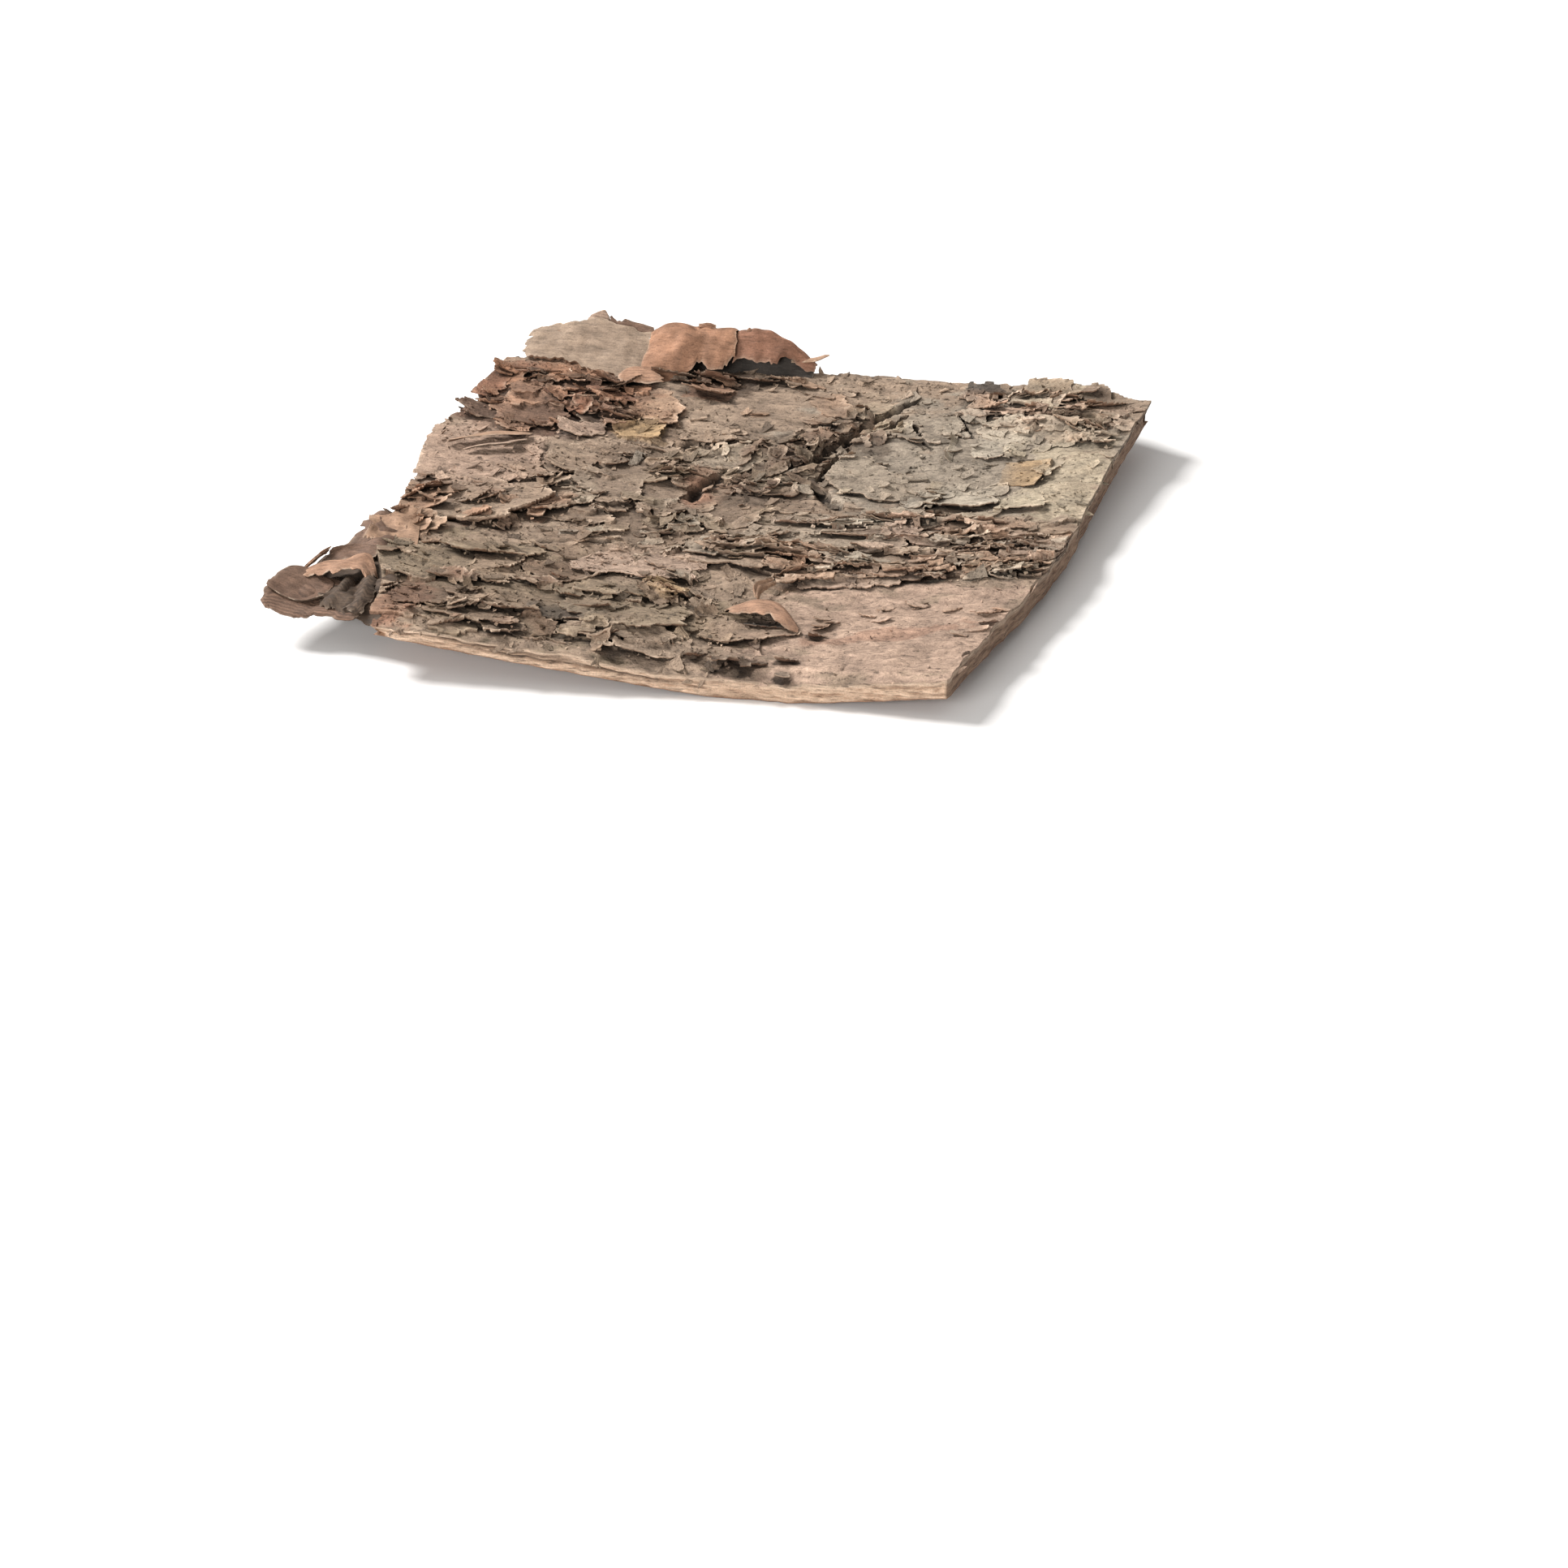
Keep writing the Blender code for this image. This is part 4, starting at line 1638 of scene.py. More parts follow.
CRUSTS = (
    # The thick plate of lichened bark, right of the long crack.
    flake(
        ((60, 80), (59, 70), (63, 63.5), (70, 60.5), (80, 62), (90, 61), (102, 60), (109, 62), (113, 80),
         (115, 104), (101, 111), (88, 114), (78, 113), (72, 105), (66, 94)),
        Tone.LICHEN, lift=0.2, thickness=1.5, curl=0.1, drape=0.8, jag=0.9, rim=0.3, calm=True, own=0.25,
    ),
    # The lumpy crust of the left front quarter.
    flake(
        ((-2, 2), (14, 3), (30, 3), (42, 4), (49, 9), (52, 18), (50, 27), (46, 37), (30, 41), (10, 41),
         (-8, 38), (-10, 26)),
        Tone.GREY_BROWN, lift=0.3, thickness=1.0, curl=0.1, drape=0.85, jag=1.2, rim=0.3, own=0.3,
    ),
    # The middle, between the cracks.
    flake(
        ((18, 46), (30, 43), (46, 38), (56, 44), (60, 60), (57, 74), (50, 75), (44, 62), (36, 60), (32, 76),
         (20, 80), (15, 66)),
        Tone.GREY_TAN, lift=0.2, thickness=0.8, curl=0.1, drape=0.85, jag=1.0, rim=0.3, own=0.25,
    ),
    # Layers of the ragged ledge above the smooth front right quarter.
    flake(
        ((50, 44), (59, 33), (63, 33.5), (67, 35), (71, 37), (80, 37.5), (90, 38), (99, 40.5), (106, 40),
         (109, 62), (80, 61), (60, 60)),
        Tone.TAN, lift=0.6, thickness=0.9, curl=0.3, drape=0.75, jag=1.0, rim=0.9, own=0.5,
    ),
    flake(
        ((49, 50), (52, 46), (61, 45.6), (64, 44.6), (70, 45.6), (72, 48), (74.5, 52), (72, 56), (66, 59),
         (54, 59)),
        Tone.ASH, lift=0.8, free=-60, thickness=0.7, curl=0.35, drape=0.7, jag=0.5, rim=0.8, calm=True,
    ),
    flake(
        ((46, 36), (56, 36), (60, 39), (58, 45), (48, 46), (43, 42)),
        Tone.GREY_TAN, lift=0.8, thickness=0.5, curl=0.3, jag=0.6, rim=0.5,
    ),
    flake(
        ((74, 48), (82, 46), (94, 45.5), (104, 47), (106, 54), (96, 58), (82, 57), (75, 56)),
        Tone.PINK_TAN, lift=0.5, thickness=0.5, curl=0.2, drape=0.8, jag=0.9, rim=0.7,
    ),
    # The tan layer and the thick grey plate of the left side.
    flake(
        ((-11, 60), (-11, 80), (-4, 83), (8, 81), (11, 76), (12, 67), (7, 61)),
        Tone.PINK_TAN, lift=0.4, thickness=0.5, curl=0.4, drape=0.8, jag=0.7, rim=0.7, calm=True, own=0.85,
    ),
    flake(
        ((-4, 45), (4, 43.5), (8, 44), (11, 46.5), (13, 50), (16.5, 56.5), (13, 61), (4, 63), (-4, 61),
         (-7, 52)),
        Tone.GREY_TAN, lift=2.1, free=-38, thickness=0.9, curl=0.5, bend=2.6, jag=0.5, rim=0.7, calm=True,
    ),
)

OUTSTANDING = (
    # Front left quarter, from the corner towards the middle.
    flake(((-8, 22), (-9, 29), (-5, 34), (2, 33), (9, 31), (10, 22), (2, 19), (-5, 20)),
          Tone.MOSS_GREY, lift=0.6, free=-120, thickness=0.5, jag=0.8, calm=True),
    flake(((1, 9), (10, 9), (11, 19), (3, 20), (-1, 16)), Tone.BROWN, lift=0.4, jag=0.7, calm=True),
    flake(((9, 5), (15, 3.5), (22, 3), (22, 7), (19, 10), (11, 9), (7, 7)), Tone.GREY_BROWN, lift=1.2,
          jag=0.6),
    flake(((10, 10), (14, 10.5), (20, 8.5), (24, 10), (24, 17), (16, 19), (9, 17)), Tone.GREY_BROWN, lift=1.5,
          jag=0.7, calm=True),
    flake(((22, 11), (27, 9), (34, 8.5), (34, 13), (28, 16), (22, 15)), Tone.CHARCOAL, lift=0.7, jag=0.6,
          own=0.7),
    flake(((27, 15), (33, 9.5), (42, 8), (48, 12), (48, 20), (43, 24), (32, 24), (27, 21)), Tone.MOSS_GREY,
          lift=1.1, free=-70, thickness=0.4, jag=0.6, calm=True),
    flake(((28, 5), (36, 3.5), (46, 5), (49, 9), (43, 12), (34, 10)), Tone.GREY_TAN, lift=0.9, jag=0.7),
    flake(((36, 0.8), (41, 5), (45, 7), (50, 9.5), (51, 5), (46, 2.5)), Tone.GREY_TAN, lift=1.5, free=-110,
          jag=0.5),
    flake(((10, 22), (17, 21), (19, 27), (15, 33), (9, 31)), Tone.GREY_TAN, lift=0.5, jag=0.8, calm=True),
    flake(((2, 33), (5, 31.5), (10, 30.5), (18, 31), (20, 37), (14, 40), (5, 40)), Tone.MOSS_GREY, lift=1.3,
          free=-95, thickness=0.4, jag=0.7, calm=True),
    flake(((28, 21), (39, 21), (43, 24), (39, 28.5), (29, 27.5)), Tone.MOSS_GREY, lift=0.5, jag=0.5,
          calm=True),
    flake(((25, 30), (30, 28.5), (39, 29.5), (46, 31), (47, 37), (44, 41), (36, 42), (28, 39)), Tone.PINK_TAN,
          lift=0.8, thickness=0.35, jag=0.6, rim=0.5, calm=True, own=0.8),
    flake(((41, 30), (45.5, 30.5), (45, 34), (41.5, 33.5)), Tone.ASH, lift=1.2, jag=0.25, own=0.8),
    flake(((37.5, 34), (39, 31.5), (47, 24.5), (43, 22.5), (39.5, 25)), Tone.GOLD, lift=1.7, free=-50,
          jag=0.3, own=0.9),
    flake(((50, 12), (51, 17), (55, 19), (61, 19), (67, 16.5), (66, 14.5), (61, 12), (56, 9.5)),
          Tone.GREY_BROWN, lift=1.1, free=-80, jag=0.4, rim=0.9, calm=True),
    flake(((56, 17), (59, 20), (63, 19), (64, 17), (60, 16)), Tone.CHARCOAL, lift=0.5, jag=0.6, own=0.9),
    # The left side.
    flake(((13, 49), (16, 48), (19, 53), (21, 58), (17, 60), (15, 55)), Tone.WARM_TAN, lift=1.2, free=-60,
          thickness=0.5, jag=0.5, own=0.8),
    flake(((12, 69), (16, 67), (20, 70), (20, 77), (15, 79), (12, 76)), Tone.GREY_TAN, lift=0.8, free=-160,
          jag=0.4, calm=True),
    flake(((20, 62), (29, 58), (31, 66), (29, 74), (21, 75), (18, 68)), Tone.GREY_TAN, lift=0.5, jag=0.8,
          calm=True),
    flake(((12, 81), (15, 80), (19, 84), (20, 89.5), (14, 86), (11, 84)), Tone.PINK_TAN, lift=1.5, free=200,
          jag=0.35, thickness=0.4, own=0.9, calm=True),
    # The hollow's flake: its gold colour is a painted highlight, the glint on a brown hollow.
    flake(((20, 85), (22, 83), (28, 83), (30, 87), (28, 92), (22, 93)), Tone.GOLD, lift=1.1, free=-40,
          jag=0.5, own=0.9),
    flake(((22, 93), (30, 89), (31, 97), (26, 103), (21, 100)), Tone.TAN, lift=0.9, free=-30, jag=0.6,
          calm=True),
    flake(((30, 101.5), (37, 101.5), (38, 107), (33, 109), (30, 106)), Tone.WARM_TAN, lift=1.7, free=-95,
          jag=0.5, own=0.8),
    flake(((31, 85), (42, 84), (43, 90), (34, 93)), Tone.GREY_TAN, lift=0.8, jag=0.7, calm=True),
    flake(((38, 50), (42, 50.5), (43, 56), (40, 57), (38, 54)), Tone.ASH, lift=0.9, jag=0.3, own=0.8,
          calm=True),
    flake(((42, 40), (48, 39), (49, 46), (43, 48)), Tone.ASH, lift=0.5, jag=0.5, calm=True),
    # The ledge.
    flake(((61, 31), (66, 34), (72, 36), (80, 36.5), (80, 41), (68, 41), (60, 37)), Tone.TAN, lift=1.4,
          jag=0.8, rim=1.0, thickness=0.5),
    flake(((82, 35), (86, 36), (89, 40), (88, 44), (84, 42)), Tone.GREY_TAN, lift=1.8, free=-60, jag=0.5,
          rim=1.0),
    flake(((89, 40), (95, 39), (100, 39.5), (102, 43), (92, 44.5)), Tone.MOSS_GREY, lift=1.5, jag=0.6,
          rim=0.9),
    flake(((70, 37), (77, 37.5), (80, 42), (72, 44), (68, 41)), Tone.ASH, lift=1.0, jag=0.6, rim=0.8),
    flake(((60, 55), (66, 52), (71, 54), (72, 57), (64, 60)), Tone.PALE_LICHEN, lift=0.6, jag=0.5, calm=True),
    flake(((74, 51), (80, 50), (80, 57), (75, 58)), Tone.PINK_TAN, lift=0.4, jag=0.5, calm=True, own=0.8),
    flake(((89, 48), (96, 47.5), (96, 51), (90, 51)), Tone.PALE_LICHEN, lift=0.6, jag=0.5),
    # The lichened plate.
    flake(((62, 82), (60.5, 74), (64, 68), (72, 67), (79, 70), (79, 74), (74, 75), (70, 79), (67, 84)),
          Tone.LICHEN, lift=0.45, free=-140, thickness=0.35, jag=0.5, rim=0.5, calm=True),
    flake(((79, 63.5), (79.5, 70), (82, 73.5), (86, 74), (90, 71), (91, 65), (86, 63.2)), Tone.PALE_LICHEN,
          lift=1.2, free=-95, thickness=0.4, jag=0.35, rim=0.6, calm=True, own=0.8),
    flake(((91, 62.5), (99, 64), (101, 68), (97, 71.5), (93, 70)), Tone.YELLOW_LICHEN, lift=1.0, jag=0.6),
    flake(((90, 74), (97, 73), (99, 82.5), (91, 83)), Tone.GOLD, lift=0.8, free=0, jag=0.2, curl=0.2, rim=0.3,
          own=0.75, calm=True),
    flake(((84, 84), (92, 85), (92, 92), (85, 93)), Tone.PALE_LICHEN, lift=0.4, jag=0.6, calm=True),
    flake(((80, 82), (81.2, 82), (81, 92), (80, 91)), Tone.PALE_LICHEN, lift=0.9, free=180, jag=0.1, own=1.0,
          thickness=0.3),
    flake(((66, 96), (72, 90), (78, 88), (82, 95), (79, 104), (72, 107), (67, 102)), Tone.LICHEN, lift=0.3,
          jag=0.8, rim=0.4, calm=True),
    flake(((84, 95), (90, 98), (100, 96.5), (107, 94.5), (106, 89), (92, 88), (85, 90)), Tone.PALE_LICHEN,
          lift=0.3, free=90, jag=0.6, rim=0.4, calm=True),
    # Dark bits under the flap of the back edge, their umber and brown a painted shade for the hollow under
    # it.
    flake(((22, 108), (28, 107.5), (31, 109.5), (28, 112), (23, 111)), Tone.UMBER, lift=1.6, jag=0.7,
          own=0.9),
    flake(((29, 109.5), (35, 109), (38, 111), (35, 113.5), (30, 113)), Tone.BROWN, lift=1.8, jag=0.7,
          own=0.9),
    flake(((36, 111), (41, 110), (45, 112), (42, 114.5), (37, 114)), Tone.UMBER, lift=1.5, jag=0.7, own=0.9),
    flake(((43, 112.5), (48, 111.5), (52, 113.5), (48, 115.5), (44, 115)), Tone.GREY_BROWN, lift=1.2,
          jag=0.7),
    flake(((26, 106), (31, 105), (34, 107), (31, 109), (27, 108.5)), Tone.UMBER, lift=1.2, jag=0.7, own=0.8),
    # Back right.
    flake(((84, 101), (90, 99), (98, 98), (96, 101.5), (88, 104.5), (84, 105)), Tone.PINK_TAN, lift=0.9,
          jag=0.6),
    flake(((86, 106), (94, 103.5), (100, 101.5), (100, 106), (92, 110), (86, 111)), Tone.PINK_TAN, lift=0.9,
          jag=0.7),
    flake(((79, 111), (81, 109), (85, 109), (87, 111), (84, 113), (80, 113)), Tone.CHARCOAL, lift=1.5,
          free=90, thickness=0.7, jag=0.4, own=0.9, rim=0.1),
    flake(((79.5, 109.5), (82, 107.5), (87, 108), (86, 111.5), (81, 111.5)), Tone.UMBER, lift=1.1, free=-90,
          thickness=0.6, jag=0.5, own=0.9, rim=0.2),
    flake(((90, 111), (96, 108), (100, 108), (98, 112), (91, 113.5)), Tone.MOSS_GREY, lift=1.2, free=90,
          jag=0.4),
    flake(((100, 106), (104, 104), (107, 104), (105, 108.5), (101, 109.5)), Tone.UMBER, lift=1.2, free=90,
          jag=0.4, own=0.8),
)

GREYS = (Tone.GREY_BROWN, Tone.MOSS_GREY, Tone.GREY_TAN, Tone.BROWN)
ZONES = (
    # The left front quarter.
    Zone(
        "flakes_left", (21, 20), (30, 19), 0, 12, 60, (3.5, 8.5), (1.3, 2.2), (5, 40), (-90, 60),
        (0.3, 1.2), GREYS
    ),
    # The left side.
    Zone(
        "flakes_left", (3, 58), (15, 24), 0, 10, 60, (3.5, 8), (1.2, 2.2), (20, 40), (-80, 60), (0.4, 1.3),
        (Tone.TAN, Tone.BROWN, Tone.GREY_BROWN, Tone.WARM_TAN),
    ),
    # The red brown chips of the left back corner.
    Zone(
        "flakes_left", (6, 96), (17, 12), 0, 24, 24, (3.5, 7), (1.0, 1.5), (-75, 40), (-100, 35), (0.5, 1.5),
        (Tone.ORANGE, Tone.RUST, Tone.BROWN, Tone.WARM_TAN, Tone.UMBER), own=0.8,
    ),
    # The middle.
    Zone(
        "flakes_centre", (38, 60), (22, 26), 0, 16, 90, (3.5, 7.5), (1.3, 2.4), (25, 30), (-80, 50),
        (0.15, 0.7), (Tone.GREY_BROWN, Tone.GREY_TAN, Tone.MOSS_GREY, Tone.ASH),
    ),
    # The layered ledge above the smooth right front quarter.
    Zone(
        "flakes_ledge", (80, 47), (33, 12), 4, 40, 150, (3.5, 10), (2.6, 6.5), (8, 9), (-85, 30), (0.2, 1.0),
        (Tone.GREY_TAN, Tone.ASH, Tone.TAN, Tone.PINK_TAN, Tone.PALE_LICHEN, Tone.BROWN), square=(2.5, 5),
    ),
    # The lichened plate.
    Zone(
        "flakes_right", (84, 84), (25, 26), 0, 14, 90, (3, 8), (1.2, 2.0), (0, 60), (-90, 80), (0.1, 0.4),
        (Tone.LICHEN, Tone.ASH, Tone.PALE_LICHEN, Tone.YELLOW_LICHEN), rim=(0.1, 0.5), own=0.35,
    ),
    # The back edge, on the right.
    Zone(
        "flakes_right", (94, 101), (19, 9), -18, 16, 44, (4, 9), (1.8, 3.5), (-15, 14), (-95, 40), (0.3, 1.1),
        (Tone.PINK_TAN, Tone.GREY_TAN, Tone.TAN, Tone.BROWN), own=0.4,
    ),
    # The dark band along the long crack.
    Zone(
        "flakes_centre", (56, 85), (22, 8), 62, 10, 110, (2, 5), (1.2, 2.4), (60, 40), (-60, 80), (0.1, 0.8),
        (Tone.UMBER, Tone.GREY_BROWN, Tone.MOSS_GREY, Tone.BROWN), own=0.4,
    ),
    # The smooth dish behind the middle.
    Zone(
        "flakes_centre", (50, 101), (21, 13), 0, 4, 12, (4, 9), (1.8, 3.5), (-25, 20), (-60, 40), (0.1, 0.3),
        (Tone.GREY_TAN, Tone.TAN, Tone.GREY_BROWN), rim=(0.1, 0.5),
    ),
    # The smooth right front quarter.
    Zone(
        "flakes_right", (84, 21), (19, 7), 5, 2, 14, (2, 5), (1.5, 3.5), (10, 20), (-90, 40), (0.1, 0.5),
        (Tone.PINK_TAN, Tone.TAN, Tone.GREY_TAN), own=0.3,
    ),
)

CORNER_SHEETS = (
    # The scoop that stands out past the left front corner, its outer half dark and striped.
    PaperySheet(
        (
            ((-19.7, 17.5, 1), (-17, 18.5, 0.7), (-14, 18, -0.3), (-10, 17.5, -1.1), (-3, 16, -1.5)),
            ((-21.0, 13.5, 0.4), (-17.5, 14, -0.5), (-13.5, 13.5, -1.3), (-10, 13, -1.7), (-3, 12.5, -1.7)),
            ((-21.6, 10, -0.3), (-17.5, 10, -1.5), (-13.5, 9.8, -2), (-10.3, 9.8, -1.8), (-3, 9, -1.9)),
            ((-21.2, 8, -0.9), (-17.3, 7, -2.1), (-13.5, 7.2, -2.3), (-10.4, 7.6, -2), (-4, 6.6, -2.1)),
            ((-20.0, 6.6, -1.8), (-17, 5.8, -2.9), (-13.5, 5.8, -3), (-10.5, 6.2, -2.9), (-6, 5.6, -3.1)),
        ),
        Tone.BROWN, ragged=0.08, ends=0.03, stripe=0.28, thickness=0.7, under=Tone.UMBER, crumple=0.15,
        cells=(90, 60), pale=0.2,
    ),
    # The smooth inner layer of the scoop, its rim curled up.
    PaperySheet(
        (
            ((-19.6, 17.4, 1.3), (-17, 18.4, 1), (-14, 17.8, 0), (-11, 16.5, -0.7)),
            ((-20.8, 14.0, 0.8), (-17.5, 14, -0.1), (-14, 13.5, -0.9), (-11, 13.3, -1.1)),
            ((-21.0, 11.4, 0.3), (-17.5, 10.4, -0.9), (-14, 10.2, -1.2), (-11.2, 11, -0.9)),
            ((-20.8, 10.4, 0.4), (-17.4, 9.2, -0.5), (-13.8, 9.0, -0.7), (-10.9, 10.2, -0.2)),
        ),
        Tone.BROWN, ragged=0.08, ends=0.04, thickness=0.35, under=Tone.UMBER, crumple=0.2, cells=(60, 44),
        pale=0.5,
    ),
    # Dark folds between the scoop and the slab, under the bridge.
    PaperySheet(
        (
            ((-15.6, 27, -0.4), (-11, 28, -0.6), (-7, 29, -0.6), (-1, 30, -0.5)),
            ((-16.8, 21, -0.8), (-11, 21, -1.4), (-6.5, 21, -1.0), (1, 22, -0.6)),
            ((-16, 16.5, -1.0), (-10.5, 15, -1.9), (-6, 15, -1.1), (1, 15, -0.9)),
            ((-12.5, 12, -1.4), (-9.5, 10.5, -1.5), (-5.6, 10, -0.9), (1, 9, -1.0)),
            ((-11, 7.5, -2.6), (-8, 6.4, -2.6), (-5, 5.6, -2.2), (1, 4.4, -1.6)),
        ),
        Tone.UMBER, ragged=0.06, ends=0.02, stripe=0.2, crumple=0.7, thickness=0.5, under=Tone.UMBER,
        cells=(80, 80), pale=0.2,
    ),
    PaperySheet(
        (
            ((-10.4, 17.5, -1.2), (-9, 17.5, 0.1), (-7.6, 17.5, -1.0)),
            ((-10.2, 12, -1.2), (-8.6, 12, 0.2), (-7.2, 12, -0.8)),
            ((-10.6, 8, -2.2), (-9.2, 7.4, -1.2), (-7.6, 7, -1.8)),
        ),
        Tone.UMBER, ragged=0.15, ends=0.1, stripe=0.3, crumple=0.6, thickness=0.35, under=Tone.UMBER,
        cells=(30, 60), pale=0.3,
    ),
    PaperySheet(
        (
            ((-7.2, 17.5, -0.8), (-5.4, 17.5, 0.6), (-3.4, 17.5, -0.6)),
            ((-6.6, 11.5, -0.8), (-4.8, 11.5, 0.8), (-2.8, 11, -0.6)),
            ((-7.4, 6.6, -1.9), (-5.2, 5.6, -0.8), (-3.4, 5, -1.6)),
        ),
        Tone.UMBER, ragged=0.15, ends=0.1, stripe=0.3, crumple=0.6, thickness=0.35, under=Tone.UMBER,
        cells=(30, 60), pale=0.3,
    ),
    # The bridge that arches over them, with its raised lip.
    PaperySheet(
        (
            ((-17.4, 17.9, 0.2), (-14.4, 22.3, 0.4), (-11.2, 23.6, 0.6), (-8.3, 27.0, 0.9),
             (-4.6, 20.0, -0.6)),
            ((-16.9, 17.0, 0.7), (-13.8, 19.4, 1.3), (-10.6, 20.0, 1.4), (-7.8, 20.3, 0.9),
             (-4.4, 16.4, -0.5)),
            ((-16.2, 16.0, 0.8), (-13.2, 14.7, 1.2), (-10.3, 14.3, 1.2), (-7.2, 14.8, 0.7),
             (-4.1, 12.2, -0.8)),
        ),
        Tone.WARM_TAN, ragged=0.16, ends=0.05, worn_root=0.04, crumple=0.35, thickness=0.4, under=Tone.UMBER,
        cells=(80, 40),
    ),
    # The small cup behind the bridge, its dark umber a painted shade on its shaded inner face.
    PaperySheet(
        (
            ((-6.4, 28.2, 0.9), (-9.4, 29.4, 1.2), (-12.2, 29.4, 1.1), (-14.8, 27.8, 1)),
            ((-6.8, 26.8, 0.1), (-9.8, 28.2, 0.1), (-12.8, 28.0, 0), (-15.4, 26.2, 0)),
            ((-7.2, 24.8, -0.4), (-10.2, 25.2, -0.5), (-13.0, 24.8, -0.6), (-15.6, 24.2, -0.5)),
        ),
        Tone.UMBER, ragged=0.1, ends=0.04, worn_root=0.06, thickness=0.4, under=Tone.BROWN, cells=(50, 24),
    ),
    PaperySheet(
        (
            ((-17.0, 18.8, 0.6), (-15.8, 23.4, 1.1), (-14.7, 27.8, 1.1)),
            ((-17.3, 19.2, -0.2), (-16.4, 23.2, -0.2), (-15.3, 27.0, -0.3)),
        ),
        Tone.TAN, ragged=0.1, ends=0.03, thickness=0.35, cells=(40, 14),
    ),
    # Torn layers that stand out past the left edge.
    PaperySheet(
        (
            ((-4, 49, -0.2), (-4, 42, -0.2), (-3.5, 35, -0.2), (-2, 28, -0.3)),
            ((-8.6, 49, 0.1), (-8.8, 42, 0.1), (-9, 35, -0.1), (-9.4, 28, -0.3)),
            ((-10.6, 49, 0.6), (-12.4, 42, 0.7), (-13, 35, 0.2), (-14.6, 28.6, 0.0)),
        ),
        Tone.BROWN, ragged=0.3, ends=0.05, crumple=0.6, thickness=0.45, under=Tone.UMBER, cells=(90, 30),
        pale=0.3,
    ),
    PaperySheet(
        (
            ((-3, 47, 0.4), (-3, 41, 0.4), (-2, 36, 0.4), (-1, 31, 0.3)),
            ((-7.6, 46, 0.9), (-8, 40, 1.0), (-8, 36, 0.8), (-7.6, 31, 0.6)),
            ((-9.4, 45, 2.2), (-11.6, 40.6, 2.0), (-10, 35, 1.6), (-10.6, 31.6, 1.2)),
        ),
        Tone.TAN, ragged=0.4, ends=0.08, crumple=0.5, thickness=0.35, under=Tone.BROWN, cells=(90, 30),
        pale=0.5,
    ),
)
